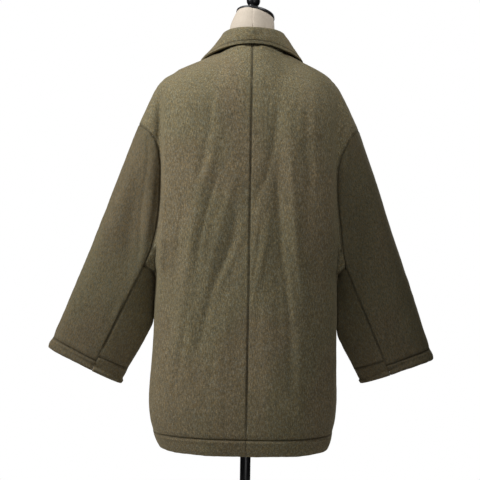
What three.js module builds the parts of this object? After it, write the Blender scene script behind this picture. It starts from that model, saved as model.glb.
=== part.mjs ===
// Padded wool coat with drop shoulders and wide sleeves, on a limbless dress form with a pole and a base.
// Millimetres, +Z up. The coat's front faces -Y and the wearer's left is +X.
// The origin is on the floor, in the middle of the base.
import * as THREE from "three";

// Driving sizes of the cloth
const WALL = 5;
const TURNED_WALL = 7.5;
const TURN_RUN = 12;
const SEAM_GAP = 0.3;
const LAYER_GAP = 1.8;
const HEM_BAND = 38;
const CUFF_BAND = 24;
const HEM_RISE = { height: 4, reach: 114, sharpness: 4 };
const BAND_PUFF = 2.2;
const STITCH_WIDTH = 4;
const BUTTON_STAND = 25;
const SINK = { margin: 4, run: 34 };

// The neck seam: an oval hole in the plan
const NECK = { half: 70, back: 60, front: 78 };

// The shoulder line in the back view, from the centre (inside the neck hole) out and down the drop shoulder
const SHOULDER = [
  { x: 0, left: 1393, right: 1393 },
  { x: 20, left: 1390, right: 1390 },
  { x: 40, left: 1379, right: 1379 },
  { x: 55, left: 1365, right: 1365 },
  { x: 70, left: 1351, right: 1351 },
  { x: 88, left: 1340.5, right: 1340.5 },
  { x: 111, left: 1330.5, right: 1329.5 },
  { x: 145, left: 1316.5, right: 1313.5 },
  { x: 170, left: 1304.5, right: 1297.5 },
  { x: 186, left: 1296.5, right: 1284 },
  { x: 200, left: 1285.5, right: 1262 },
  { x: 212, left: 1268, right: 1239 },
  { x: 226, left: 1236, right: 1209 },
  { x: 240, left: 1205, right: 1180 },
  { x: 262, left: 1158, right: 1125 },
];

// How far below the shoulder line the back and fronts reach their full depth
const SHOULDER_ROUNDING = [
  { x: 0, back: 150, front: 300 },
  { x: 40, back: 146, front: 285 },
  { x: 70, back: 138, front: 225 },
  { x: 110, back: 112, front: 140 },
  { x: 185, back: 78, front: 78 },
  { x: 250, back: 82, front: 82 },
];

// Horizontal sections of the body: half widths on the wearer's left and right, and the depths at the centre
const BODY = [
  { z: 1366, left: 212, right: 203, back: 111, front: -93 },
  { z: 1290, left: 212, right: 203, back: 113, front: -99 },
  { z: 1220, left: 211, right: 201, back: 117, front: -106 },
  { z: 1160, left: 210, right: 200, back: 119, front: -109 },
  { z: 1050, left: 206, right: 196, back: 121, front: -108 },
  { z: 950, left: 204, right: 193, back: 124, front: -109 },
  { z: 875, left: 202, right: 192, back: 128, front: -112 },
  { z: 776, left: 204.5, right: 194, back: 134, front: -118 },
  { z: 716, left: 206, right: 194.5, back: 138, front: -122 },
  { z: 661, left: 209.5, right: 195, back: 142, front: -126 },
  { z: 600, left: 214.5, right: 197.5, back: 146, front: -131 },
  { z: 556, left: 212, right: 195.5, back: 147, front: -132 },
  { z: 530, left: 206.5, right: 191, back: 145, front: -130 },
  { z: 508, left: 199, right: 186, back: 142, front: -127 },
  { z: 482, left: 187, right: 179, back: 135, front: -120 },
];
const CHEST_SQUARENESS = 3.4;
const WIDEST_SHARE = 0.995;
const SKIRT_SQUARENESS = 2.7;
const EASE_TO_SKIRT = { from: 1030, to: 880 };

// The long vertical fold where the back and fronts turn in towards the sleeves
const FOLD_EDGE = [
  { z: 1300, left: 190, right: 175 },
  { z: 1141, left: 187, right: 178 },
  { z: 1021, left: 185, right: 180 },
  { z: 959, left: 190, right: 183 },
  { z: 875, left: 195, right: 186 },
];
const FOLD_REACH = 16;
const FOLD_START = 3;
const FOLD_RUN = 14;
const FOLD_GROOVE = { offset: 9, width: 9, depth: 11 };
const SLEEVE_HEAD = { back: 63, front: -61 };

// The armhole seam from the shoulder line down to the corner where the sleeve's long seams start
const ARMHOLE = {
  left: [
    { x: 247, back: 0, front: 0 },
    { x: 241, z: 1185, back: 29, front: -27 },
    { x: 226, z: 1176, back: 48, front: -45 },
    { x: 208, z: 1158, back: 56, front: -53 },
    { x: 196, z: 1122, back: 56, front: -55 },
    { x: 194, z: 1050, back: 54, front: -54 },
    { x: 199, z: 970, back: 54, front: -52 },
    { x: 212, z: 912, back: 53, front: -50 },
    { x: 227, z: 878, back: 50, front: -47 },
  ],
  right: [
    { x: 238, back: 0, front: 0 },
    { x: 232, z: 1180, back: 28, front: -26 },
    { x: 219, z: 1169, back: 47, front: -45 },
    { x: 205, z: 1142, back: 55, front: -53 },
    { x: 191, z: 1110, back: 56, front: -55 },
    { x: 188, z: 1050, back: 54, front: -54 },
    { x: 194, z: 985, back: 54, front: -52 },
    { x: 201, z: 925, back: 53, front: -50 },
    { x: 210, z: 880, back: 50, front: -47 },
  ],
};
// The short level run of the armhole seam from that corner in to the underarm
const UNDERARM = {
  left: [
    { x: 227, z: 878, back: 50, front: -47 },
    { x: 216, z: 875.5, back: 34, front: -32 },
    { x: 208.5, z: 874, back: 16, front: -16 },
    { x: 205, z: 873, back: 0, front: 0 },
  ],
  right: [
    { x: 210, z: 880, back: 50, front: -47 },
    { x: 202, z: 876.5, back: 34, front: -32 },
    { x: 198, z: 874, back: 16, front: -16 },
    { x: 195, z: 873, back: 0, front: 0 },
  ],
};

// The sleeves: the cuff's outer and inner ends, and how far the outer edge dips below a straight line
const CUFF = {
  left: { outerX: 438, outerZ: 696, innerX: 275, innerZ: 618, dip: 4 },
  right: { outerX: 411, outerZ: 684, innerX: 250, innerZ: 627, dip: 0 },
};
const CUFF_DEPTH = 43;
const CUFF_SQUARENESS = 0.85;
const CUFF_Y = -12;
const SLEEVE_PUFF = 5;
const SEAM_SHARE = 0.61;
// How far the under sleeve hangs in towards the body, by the distance down from the underarm
const UNDER_DRAPE = [
  { far: 0, left: 0, right: 0 },
  { far: 10, left: 1.6, right: 0.8 },
  { far: 30, left: 4.8, right: 3.2 },
  { far: 68, left: 9.8, right: 7.2 },
  { far: 122, left: 16.4, right: 12.4 },
  { far: 180, left: 23.2, right: 18.4 },
  { far: 238, left: 30.4, right: 24.2 },
  { far: 296, left: 27.2, right: 29.4 },
  { far: 354, left: 19.4, right: 24.2 },
  { far: 410, left: 9.9, right: 13.8 },
  { far: 458, left: 3, right: 4.6 },
  { far: 515, left: 0, right: 0 },
];

// Grid lines: rows down the armhole, underarm run and skirt, columns across a panel, rings on a sleeve
const ARM_ROWS = 13;
const RUN_ROWS = 4;
const ROW_CROWDING = 1.5;
const FOLD_CROWDING = 1.6;
const END_BLEND = { run: 70, sharpness: 1.5 };
const TOP_FADE = 1.5;
const COLUMN_EASE = 260;
const LEAST_SHARE = 0.016;
const SKIRT_ROWS = [865, 838, 804, 768, 731, 694, 657, 620, 585, 555, 533, 523, 512, 497, 486, 482];
const COLUMNS = { back: { stand: 0, neck: 6, side: 8 }, front: { stand: 2, neck: 6, side: 8 } };
const SLEEVE_RINGS = [0, 10, 30, 68, 122, 180, 238, 296, 354, 410, 458, 484, 491, 503, 512, 515];

// The largest folds, seen from behind or in front: ridges rise and troughs sink, fading at both ends
const FOLDS = [
  // the back, wearer's left of the centre seam
  { face: "back", x1: 78, z1: 1245, x2: 112, z2: 1040, width: 20, rise: 4 },
  { face: "back", x1: 118, z1: 1110, x2: 142, z2: 640, width: 26, rise: 6 },
  { face: "back", x1: 98, z1: 1250, x2: 118, z2: 1050, width: 16, rise: -5 },
  { face: "back", x1: 158, z1: 1120, x2: 164, z2: 760, width: 18, rise: -4 },
  { face: "back", x1: 20, z1: 1010, x2: 108, z2: 620, width: 22, rise: -6 },
  { face: "back", x1: 52, z1: 900, x2: 88, z2: 560, width: 22, rise: 4 },
  // the back, wearer's right
  { face: "back", x1: -86, z1: 1235, x2: -98, z2: 800, width: 22, rise: 6 },
  { face: "back", x1: -54, z1: 1240, x2: -82, z2: 700, width: 18, rise: -6 },
  { face: "back", x1: -28, z1: 1015, x2: -8, z2: 790, width: 13, rise: 4 },
  { face: "back", x1: -142, z1: 1200, x2: -146, z2: 780, width: 20, rise: 4 },
  { face: "back", x1: -120, z1: 1180, x2: -124, z2: 820, width: 14, rise: -4 },
  { face: "back", x1: -30, z1: 820, x2: -52, z2: 540, width: 24, rise: 3 },
  // the sleeves, behind
  { face: "back", x1: 222, z1: 1185, x2: 226, z2: 890, width: 13, rise: 8 },
  { face: "back", x1: 236, z1: 1150, x2: 262, z2: 860, width: 15, rise: -9 },
  { face: "back", x1: -214, z1: 1165, x2: -206, z2: 900, width: 12, rise: 7 },
  { face: "back", x1: -226, z1: 1160, x2: -232, z2: 860, width: 15, rise: -9 },
  { face: "back", x1: 330, z1: 800, x2: 240, z2: 762, width: 14, rise: -4 },
  { face: "back", x1: -318, z1: 790, x2: -232, z2: 752, width: 14, rise: -4 },
  // the fronts
  { face: "front", x1: 96, z1: 1180, x2: 116, z2: 640, width: 24, rise: 6 },
  { face: "front", x1: 132, z1: 1190, x2: 146, z2: 700, width: 17, rise: -5 },
  { face: "front", x1: -98, z1: 1180, x2: -110, z2: 660, width: 24, rise: 6 },
  { face: "front", x1: -130, z1: 1190, x2: -140, z2: 720, width: 17, rise: -5 },
  { face: "front", x1: 60, z1: 1000, x2: 70, z2: 560, width: 18, rise: -4 },
  { face: "front", x1: -62, z1: 980, x2: -70, z2: 560, width: 18, rise: -4 },
  // the sleeves, in front
  { face: "front", x1: 224, z1: 1180, x2: 230, z2: 900, width: 14, rise: 7 },
  { face: "front", x1: 240, z1: 1140, x2: 268, z2: 870, width: 16, rise: -8 },
  { face: "front", x1: -216, z1: 1170, x2: -212, z2: 900, width: 14, rise: 7 },
  { face: "front", x1: -230, z1: 1140, x2: -240, z2: 870, width: 16, rise: -8 },
];
const FOLD_ENDS = 0.08;
const FOLD_TURN = 2;

// The collar by the angle round the neck from the nape: where the stand meets the roll, and the leaf's edge
const COLLAR_WALL = 4.4;
const ROLL = { radius: 5, steps: 4 };
const STAND_MIDDLE = 0.55;
const COLLAR_END_GAP = 2;
const LEAF_CLEARANCE = 1.5;
const LEAF_STEPS = [0.22, 0.48, 0.74, 0.92, 1];
const COLLAR = [
  { angle: 0, left: 0, right: 0, y: 60, z: 1391, leafX: 0, leafY: 77, leafZ: 1362 },
  { angle: 30, left: 28, right: 29, y: 52, z: 1391, leafX: 38, leafY: 67, leafZ: 1359.5 },
  { angle: 50, left: 43, right: 46, y: 38, z: 1390, leafX: 66, leafY: 46, leafZ: 1353 },
  { angle: 63, left: 50, right: 54, y: 23, z: 1389, leafX: 86, leafY: 31, leafZ: 1346.5 },
  { angle: 75, left: 54, right: 59, y: 11, z: 1388, leafX: 101, leafY: 17, leafZ: 1340 },
  { angle: 90, left: 56, right: 60, y: -3, z: 1386, leafX: 111, leafY: 0, leafZ: 1334 },
  { angle: 110, left: 54, right: 57, y: -24, z: 1370, leafX: 113, leafY: -36, leafZ: 1322 },
  { angle: 130, left: 46, right: 48, y: -44, z: 1343, leafX: 106, leafY: -71, leafZ: 1295 },
  { angle: 150, left: 31, right: 32, y: -63, z: 1317, leafX: 87, leafY: -88, leafZ: 1262 },
  { angle: 170, left: 11, right: 11, y: -74, z: 1301, leafX: 62, leafY: -94, leafZ: 1238 },
  { angle: 180, left: 2, right: 2, y: -76, z: 1298, leafX: 52, leafY: -96, leafZ: 1228 },
];
// How far the leaf bulges out between the roll and its edge
const COLLAR_BULGE = [
  { angle: 0, left: 2, right: 2 },
  { angle: 50, left: 1, right: 2 },
  { angle: 63, left: -1, right: 2 },
  { angle: 75, left: -2, right: 2 },
  { angle: 90, left: -2, right: 1 },
  { angle: 110, left: -1, right: 0 },
  { angle: 130, left: 0, right: 0 },
  { angle: 150, left: 2, right: 2 },
  { angle: 170, left: 2, right: 2 },
  { angle: 180, left: 2, right: 2 },
];

// Buttons down the centre front
const BUTTON = { radius: 12, edge: 1.2, rim: 3.6, thickness: 4, dish: 1.4, sides: 12 };
const BUTTON_PROBES = { rings: 2, spokes: 16 };
const BUTTON_HEIGHTS = [1238, 1128, 1018, 908, 798];

// The dress form, plain and without limbs
const FORM = [
  { z: 715, left: 138, right: 138, back: 86, front: -88 },
  { z: 728, left: 146, right: 146, back: 92, front: -93 },
  { z: 800, left: 157, right: 157, back: 101, front: -97 },
  { z: 860, left: 157, right: 157, back: 103, front: -94 },
  { z: 940, left: 137, right: 137, back: 90, front: -84 },
  { z: 1020, left: 119, right: 119, back: 77, front: -76 },
  { z: 1100, left: 131, right: 131, back: 84, front: -80 },
  { z: 1180, left: 148, right: 148, back: 95, front: -80 },
  { z: 1230, left: 165, right: 165, back: 92, front: -69 },
  { z: 1258, left: 172, right: 172, back: 84, front: -62 },
  { z: 1276, left: 172, right: 172, back: 73, front: -56 },
  { z: 1290, left: 165, right: 165, back: 64, front: -51 },
  { z: 1302, left: 158.5, right: 150, back: 58, front: -47 },
  { z: 1316.5, left: 127, right: 123.5, back: 52.5, front: -41.5 },
  { z: 1330.5, left: 92, right: 92, back: 46.5, front: -35.5 },
  { z: 1339, left: 70, right: 70, back: 45, front: -37 },
  { z: 1349, left: 57, right: 57, back: 46, front: -41 },
  { z: 1364, left: 51.5, right: 51.5, back: 47, front: -44 },
  { z: 1388, left: 49.5, right: 49.5, back: 47, front: -45 },
  { z: 1402, left: 52, right: 49.5, back: 46, front: -44 },
  { z: 1432, left: 36, right: 47.5, back: 42, front: -42 },
];
const FORM_SIDES = 28;
const FORM_SQUARENESS = 2.3;
const NECK_TILT = { startZ: 1364, back: 0.27, side: 0.19 };
const PLATE = { thickness: 8, inset: 4 };
const CAP = { radius: 43, thickness: 6, edge: 1.5, sides: 32, offset: -5.5 };
const FINIAL = { offset: 11, foot: 10.5, footEdge: 2, waist: 8, footHeight: 17, ball: 15.5, steps: 8, sides: 20 };
const POLE = { radius: 11.5, sides: 24 };
const BASE_SIDES = 40;
const BASE = [
  { radius: 0, z: 0 },
  { radius: 172, z: 0 },
  { radius: 175, z: 3 },
  { radius: 175, z: 7 },
  { radius: 172, z: 10 },
  { radius: 60, z: 16 },
  { radius: 30, z: 18 },
  { radius: 22.5, z: 27 },
  { radius: 18, z: 40 },
  { radius: 16, z: 42 },
  { radius: 0, z: 42 },
];

const MATERIALS = {
  wool: new THREE.MeshStandardMaterial({ color: 0x6f664f, roughness: 0.95, metalness: 0 }),
  button: new THREE.MeshStandardMaterial({ color: 0x3a3226, roughness: 0.45, metalness: 0 }),
  linen: new THREE.MeshStandardMaterial({ color: 0xd8ccb8, roughness: 0.9, metalness: 0 }),
  black: new THREE.MeshStandardMaterial({ color: 0x111113, roughness: 0.4, metalness: 0.1 }),
};

const SIGN = { left: 1, right: -1 };
const FACING = { back: 1, front: -1 };

// How finely curves are followed before they are cut into steps
const CURVE_STEPS = 240;
// Points nearer than this share of a millimetre are one point
const SPOT = 0.02;
// How often a seam point is pushed clear of the faces that meet there
const PULL_TURNS = 20;
// Weights that order the points of a seam, so that both its walls are split alike
const RANK = { x: 0.2, y: 0.4, z: 1 };

const clamp01 = (t) => Math.min(1, Math.max(0, t));
const smooth = (t) => clamp01(t) ** 2 * (3 - 2 * clamp01(t));
const mix = (a, b, t) => a + (b - a) * t;
const bell = (t) => Math.exp(-(t ** 2));
const vec = (x, y, z) => new THREE.Vector3(x, y, z);

/** A table's column at a value of another column, along a smooth curve through the rows. */
function look(table, by, at, column) {
  const rows = table[0][by] < table[table.length - 1][by] ? table : [...table].reverse();
  const last = rows.length - 1;
  if (at <= rows[0][by]) return rows[0][column];
  if (at >= rows[last][by]) return rows[last][column];
  let i = 0;
  while (at > rows[i + 1][by]) i++;
  const slope = (k) => {
    const a = rows[Math.max(k - 1, 0)];
    const b = rows[Math.min(k + 1, last)];
    return (b[column] - a[column]) / (b[by] - a[by]);
  };
  const span = rows[i + 1][by] - rows[i][by];
  const t = (at - rows[i][by]) / span;
  const lean = (slope(i) * (1 - t) ** 2 * t - slope(i + 1) * t * t * (1 - t)) * span;
  return mix(rows[i][column], rows[i + 1][column], smooth(t)) + lean;
}

/** Depth of the neck seam at a distance from the centre, or 0 beyond the neck hole. */
function neckY(face, ax) {
  return ax < NECK.half ? FACING[face] * NECK[face] * Math.sqrt(1 - (ax / NECK.half) ** 2) : 0;
}

/** How far out the rounded shoulder has come, from 0 on its line to 1, after a drop given as a share. */
const roundOut = (drop) => Math.sqrt(1 - (1 - clamp01(drop)) ** 2);
const roundDrop = (out) => 1 - Math.sqrt(1 - clamp01(out) ** 2);

/** Height of a panel's top edge: the neck seam across the neck hole, and the shoulder line beyond it. */
function topZ(side, face, x) {
  const ax = Math.abs(x);
  const ridge = look(SHOULDER, "x", ax, side);
  const out = neckY(face, ax) / fullY(side, face, ax, ridge);
  return ridge - roundDrop(out) * look(SHOULDER_ROUNDING, "x", ax, face);
}

/** Full depth of the body below the rounded shoulder, with the fold and the turn out to the sleeve. */
function fullY(side, face, ax, z) {
  const eased = smooth((EASE_TO_SKIRT.from - z) / (EASE_TO_SKIRT.from - EASE_TO_SKIRT.to));
  const edge = look(FOLD_EDGE, "z", z, side);
  const reach = mix(edge + FOLD_REACH, look(BODY, "z", z, side), eased);
  const square = mix(CHEST_SQUARENESS, SKIRT_SQUARENESS, eased);
  const bow = (1 - Math.min(WIDEST_SHARE, ax / reach) ** square) ** (1 / square);
  const turned = (1 - eased) * smooth((ax - edge + FOLD_START) / FOLD_RUN);
  const groove = (1 - eased) * FOLD_GROOVE.depth * bell((ax - edge - FOLD_GROOVE.offset) / FOLD_GROOVE.width);
  return mix(look(BODY, "z", z, face) * bow, SLEEVE_HEAD[face], turned) - FACING[face] * groove;
}

/** Depth of the back or front above the underarm. */
function chestY(side, face, x, z) {
  const ax = Math.abs(x);
  const drop = (look(SHOULDER, "x", ax, side) - z) / look(SHOULDER_ROUNDING, "x", ax, face);
  return fullY(side, face, ax, z) * roundOut(drop);
}

/** How far along a line of points each one lies; a weight makes stretches count for more. */
function distances(points, weight = () => 1) {
  const far = [0];
  for (let i = 1; i < points.length; i++) {
    const middle = points[i].clone().lerp(points[i - 1], 0.5);
    far.push(far[i - 1] + points[i].distanceTo(points[i - 1]) * weight(middle));
  }
  return far;
}

/** Points at given shares of the way along a line. */
function pick(points, shares, weight) {
  const far = distances(points, weight);
  return shares.map((share) => {
    const at = share * far[far.length - 1];
    let i = 1;
    while (i < points.length - 1 && far[i] < at) i++;
    const t = clamp01((at - far[i - 1]) / Math.max(1e-9, far[i] - far[i - 1]));
    return points[i - 1].clone().lerp(points[i], t);
  });
}

const evenShares = (count) => Array.from({ length: count + 1 }, (_, k) => k / count);

/** The armhole seam of one panel, and the short underarm run that follows it. */
function armholeEdge(side, face) {
  const curve = (rows) => {
    const points = rows.map((r) => vec(r.x, r[face], r.z ?? look(SHOULDER, "x", r.x, side)));
    return new THREE.CatmullRomCurve3(points, false, "centripetal").getPoints(CURVE_STEPS);
  };
  const crowded = evenShares(ARM_ROWS).map((share) => share ** ROW_CROWDING);
  return { arm: pick(curve(ARMHOLE[side]), crowded), run: pick(curve(UNDERARM[side]), evenShares(RUN_ROWS)) };
}

/** How much of the top edge's shape is left in a row above the underarm. */
const topShare = (i) => 1 - (i / ARM_ROWS) ** TOP_FADE;

/** Height at the centre of a row above the underarm, the same on both sides so that the centre seam meets. */
function centreZ(face, i) {
  const heights = ["left", "right"].map((side) => {
    const end = armholeEdge(side, face).arm[i];
    return end.z - (topZ(side, face, end.x) - topZ(side, face, 0)) * topShare(i);
  });
  return (heights[0] + heights[1]) / 2;
}

/** One row of a panel above the underarm, from its centre edge out to a point of the armhole. */
function chestRow(side, face, end, i, startX) {
  const middle = centreZ(face, i);
  const top = (x) => middle + (topZ(side, face, x) - topZ(side, face, 0)) * topShare(i);
  const height = (x) => top(x) + (end.z - top(end.x)) * (x / end.x) ** 2;
  const at = (x) => vec(x, chestY(side, face, x, height(x)), height(x));
  const miss = end.clone().sub(at(end.x));
  const line = (from, to) => {
    const points = [];
    for (let k = 0; k <= CURVE_STEPS; k++) {
      const x = mix(from, to, k / CURVE_STEPS);
      const blend = smooth((x - end.x + END_BLEND.run) / END_BLEND.run) ** END_BLEND.sharpness;
      points.push(at(x).addScaledVector(miss, blend));
    }
    return points;
  };
  const foldX = look(FOLD_EDGE, "z", end.z, side);
  const nearFold = (p) => 1 + FOLD_CROWDING * bell((p.x - foldX - FOLD_START) / FOLD_REACH);
  const { neck, side: outer, stand } = COLUMNS[face];
  return [
    ...(stand ? pick(line(startX, 0), evenShares(stand)).slice(0, -1) : []),
    ...pick(line(0, NECK.half), evenShares(neck)).slice(0, -1),
    ...pick(line(NECK.half, end.x), evenShares(outer), nearFold),
  ];
}

/** One row of the skirt, with points at given shares; the hem lifts a little towards the side seam. */
function skirtRow(side, face, z, startX, shares) {
  const width = look(BODY, "z", z, side);
  const depth = look(BODY, "z", z, face);
  const squeeze = 2 / SKIRT_SQUARENESS;
  const low = SKIRT_ROWS[SKIRT_ROWS.length - 1];
  const lift = HEM_RISE.height * smooth(1 - (z - low) / HEM_RISE.reach);
  const start = Math.sign(startX) * Math.asin((Math.abs(startX) / width) ** (1 / squeeze));
  const line = [];
  for (let k = 0; k <= CURVE_STEPS; k++) {
    const angle = mix(start, Math.PI / 2, k / CURVE_STEPS);
    const x = width * Math.sign(angle) * Math.abs(Math.sin(angle)) ** squeeze;
    const y = depth * clamp01(Math.cos(angle)) ** squeeze;
    line.push(vec(x, y, z + lift * Math.abs(x / width) ** HEM_RISE.sharpness));
  }
  return pick(line, shares);
}

/** A panel's points in rows from the shoulder to the hem; below the underarm they reach the side seam. */
function panelGrid(side, face) {
  const startX = face === "front" ? -BUTTON_STAND : 0;
  const { arm, run } = armholeEdge(side, face);
  const rows = arm.map((end, i) => chestRow(side, face, end, i, startX));
  const underarm = rows[ARM_ROWS];
  underarm.push(...run.slice(1).map((p) => p.clone()));
  const high = nearestShares(underarm, skirtRow(side, face, SKIRT_ROWS[0], startX, evenShares(CURVE_STEPS)));
  const low = distances(underarm).map((d, _, all) => d / all[all.length - 1]);
  for (const z of SKIRT_ROWS) {
    const down = smooth((SKIRT_ROWS[0] - z) / COLUMN_EASE);
    rows.push(skirtRow(side, face, z, startX, high.map((share, j) => mix(share, low[j], down))));
  }
  return rows;
}

/** For each point, the share of the way along a line where it comes nearest, in order and kept apart. */
function nearestShares(points, line) {
  const shares = points.map((p) => {
    const gaps = line.map((q) => Math.hypot(q.x - p.x, q.y - p.y));
    return gaps.indexOf(Math.min(...gaps)) / (line.length - 1);
  });
  shares[0] = 0;
  shares[shares.length - 1] = 1;
  for (let j = 1; j < shares.length - 1; j++) shares[j] = Math.max(shares[j], shares[j - 1] + LEAST_SHARE);
  for (let j = shares.length - 2; j > 0; j--) shares[j] = Math.min(shares[j], shares[j + 1] - LEAST_SHARE);
  return shares;
}

/** The sleeve's points, ring by ring from the armhole to the cuff; each ring starts on the top. */
function sleeveRings(side) {
  const edges = ["back", "front"].map((face) => {
    const { arm, run } = armholeEdge(side, face);
    return [...arm, ...run.slice(1)];
  });
  const half = edges[0].length - 1;
  const loop = [...edges[0], ...edges[1].slice(1, -1).reverse()];
  const cuff = CUFF[side];
  const middle = vec((cuff.outerX + cuff.innerX) / 2, CUFF_Y, (cuff.outerZ + cuff.innerZ) / 2);
  const across = vec(cuff.outerX, CUFF_Y, cuff.outerZ).sub(middle);
  const seamAngle = Math.acos(1 - 2 * SEAM_SHARE);
  const length = SLEEVE_RINGS[SLEEVE_RINGS.length - 1];
  return SLEEVE_RINGS.map((far) => {
    const w = far / length;
    const puff = Math.sin(Math.PI * w);
    return loop.map((start, k) => {
      const faceSign = k > half ? -1 : 1;
      const i = k > half ? 2 * half - k : k;
      const underShare = clamp01((i - ARM_ROWS) / RUN_ROWS);
      const angle = i <= ARM_ROWS ? (seamAngle * i) / ARM_ROWS : mix(seamAngle, Math.PI, underShare);
      const end = middle.clone().addScaledVector(across, Math.cos(angle));
      end.y += faceSign * CUFF_DEPTH * clamp01(Math.sin(angle)) ** CUFF_SQUARENESS;
      const p = start.clone().lerp(end, w);
      const under = Math.sin((underShare * Math.PI) / 2) ** 2;
      p.x -= cuff.dip * clamp01(Math.cos(angle)) * puff;
      p.x -= look(UNDER_DRAPE, "far", far, side) * under;
      p.y += faceSign * SLEEVE_PUFF * puff * Math.sin(angle);
      return p;
    });
  });
}

/** Turns points made for the +X side to the side asked for. */
function turnTo(side, grid) {
  return grid.map((row) => row.map((p) => p.clone().setX(p.x * SIGN[side])));
}

const spot = (p) => [p.x, p.y, p.z].map((v) => Math.round(v / SPOT)).join();

/** The cells of a grid whose rows may differ in length, each as [row, column]. */
function cellsOf(grid) {
  const cells = [];
  for (let i = 0; i < grid.length - 1; i++) {
    for (let j = 0; j < Math.min(grid[i].length, grid[i + 1].length) - 1; j++) cells.push([i, j]);
  }
  return cells;
}

/** The edges of a grid that only one cell has, each as its two ends in the order of the cell's corners. */
function rimOf(grid) {
  const edges = new Map();
  for (const [i, j] of cellsOf(grid)) {
    const corners = [[i, j], [i + 1, j], [i + 1, j + 1], [i, j + 1]];
    corners.forEach((a, k) => {
      const b = corners[(k + 1) % corners.length];
      const key = [a, b].map(String).sort().join("|");
      if (edges.has(key)) edges.delete(key);
      else edges.set(key, [a, b]);
    });
  }
  return [...edges.values()];
}

/** Sums which way the cloth faces at each point into a map that neighbouring panels share. */
function addFacings(grid, outward, shared) {
  for (const [i, j] of cellsOf(grid)) {
    const [a, b, c, d] = [grid[i][j], grid[i][j + 1], grid[i + 1][j], grid[i + 1][j + 1]];
    const n = d.clone().sub(a).cross(c.clone().sub(b)).setLength(outward);
    for (const p of [a, b, c, d]) {
      if (!shared.has(spot(p))) shared.set(spot(p), vec(0, 0, 0));
      shared.get(spot(p)).add(n);
    }
  }
}

/** How far the folds move a point in or out. */
function foldRise(p, normal) {
  let rise = 0;
  for (const f of FOLDS) {
    const faces = clamp01(normal.y * FACING[f.face] * FOLD_TURN);
    if (faces === 0) continue;
    const dx = f.x2 - f.x1;
    const dz = f.z2 - f.z1;
    const along = clamp01(((p.x - f.x1) * dx + (p.z - f.z1) * dz) / (dx * dx + dz * dz));
    const off = Math.hypot(p.x - f.x1 - dx * along, p.z - f.z1 - dz * along);
    rise += faces * f.rise * Math.sin(Math.PI * mix(FOLD_ENDS, 1 - FOLD_ENDS, along)) * bell(off / f.width);
  }
  return rise;
}

/** How far the turned hem and cuffs stand out: a groove at the stitched line and a full roll below it. */
function bandRise(far, band) {
  const groove = BAND_PUFF * bell((far - band) / STITCH_WIDTH);
  const roll = far < band ? BAND_PUFF * Math.sin((Math.PI * far) / band) : 0;
  return roll - groove;
}

/** A piece of cloth: its outer points, and its wall row by row. */
class Cloth {
  constructor(name, grid, outward, distanceToEdge, band, isSeam) {
    this.name = name;
    this.grid = grid;
    this.outward = outward;
    this.distanceToEdge = distanceToEdge;
    this.band = band;
    this.isSeam = isSeam;
  }

  shape(facings) {
    this.grid = this.grid.map((row, i) =>
      row.map((p) => {
        const n = facings.get(spot(p)).clone().normalize();
        return p.clone().addScaledVector(n, foldRise(p, n) + bandRise(this.distanceToEdge(i), this.band));
      }),
    );
  }

  /** Outer and inner points, pulled back from the seams so that neighbours stay apart. */
  sheets(facings) {
    const above = (i) => this.distanceToEdge(i) - this.band;
    const thickness = (i) => mix(TURNED_WALL, WALL, smooth(above(i) / TURN_RUN + 0.5));
    const outer = this.grid.map((row) => row.map((p) => p.clone()));
    const inner = this.grid.map((row, i) =>
      row.map((p) => p.clone().addScaledVector(facings.get(spot(p)).clone().normalize(), -thickness(i))),
    );
    this.pullBack(outer, inner);
    return { outer, inner };
  }

  /** Moves the points of each seam back from the faces that both neighbours share there. */
  pullBack(outer, inner) {
    const ways = new Map();
    for (const [a, b] of rimOf(outer)) {
      if (!this.isSeam(a, b, outer)) continue;
      for (const corners of rimTriangles(outer, inner, a, b)) {
        const way = new THREE.Triangle(...corners).getNormal(vec()).multiplyScalar(this.outward);
        for (const p of corners) ways.set(p, [...(ways.get(p) ?? []), way]);
      }
    }
    const moves = [...ways].map(([p, list]) => [p, clearMove(list)]);
    for (const [p, move] of moves) p.add(move);
  }
}

/** The shortest kind of move that takes a point half a seam gap along each of some directions. */
function clearMove(ways) {
  const move = vec(0, 0, 0);
  for (let turn = 0; turn < PULL_TURNS; turn++) {
    for (const way of ways) move.addScaledVector(way, Math.max(0, SEAM_GAP / 2 - move.dot(way)));
  }
  return move;
}

/** The two triangles of the wall between two sheets along an edge, split alike on both sides of a seam. */
function rimTriangles(outer, inner, [i, j], [k, l]) {
  const [outA, inA, outB, inB] = [outer[i][j], inner[i][j], outer[k][l], inner[k][l]];
  const rank = (p) => RANK.x * Math.abs(p.x) + RANK.y * Math.abs(p.y) + RANK.z * p.z;
  if (rank(outA) < rank(outB)) return [[outA, inA, inB], [outA, inB, outB]];
  return [[inA, inB, outB], [inA, outB, outA]];
}

/** A closed solid between two sheets of points. */
function wallBetween(outer, inner) {
  const triangles = [];
  for (const [i, j] of cellsOf(outer)) {
    const [a, b, c, d] = [outer[i][j], outer[i + 1][j], outer[i + 1][j + 1], outer[i][j + 1]];
    const [e, f, g, h] = [inner[i][j], inner[i + 1][j], inner[i + 1][j + 1], inner[i][j + 1]];
    triangles.push([a, b, c], [a, c, d], [e, h, g], [e, g, f]);
  }
  for (const [a, b] of rimOf(outer)) triangles.push(...rimTriangles(outer, inner, a, b));
  return outwardFacing(triangles.flat().flatMap((p) => [p.x, p.y, p.z]));
}

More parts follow.
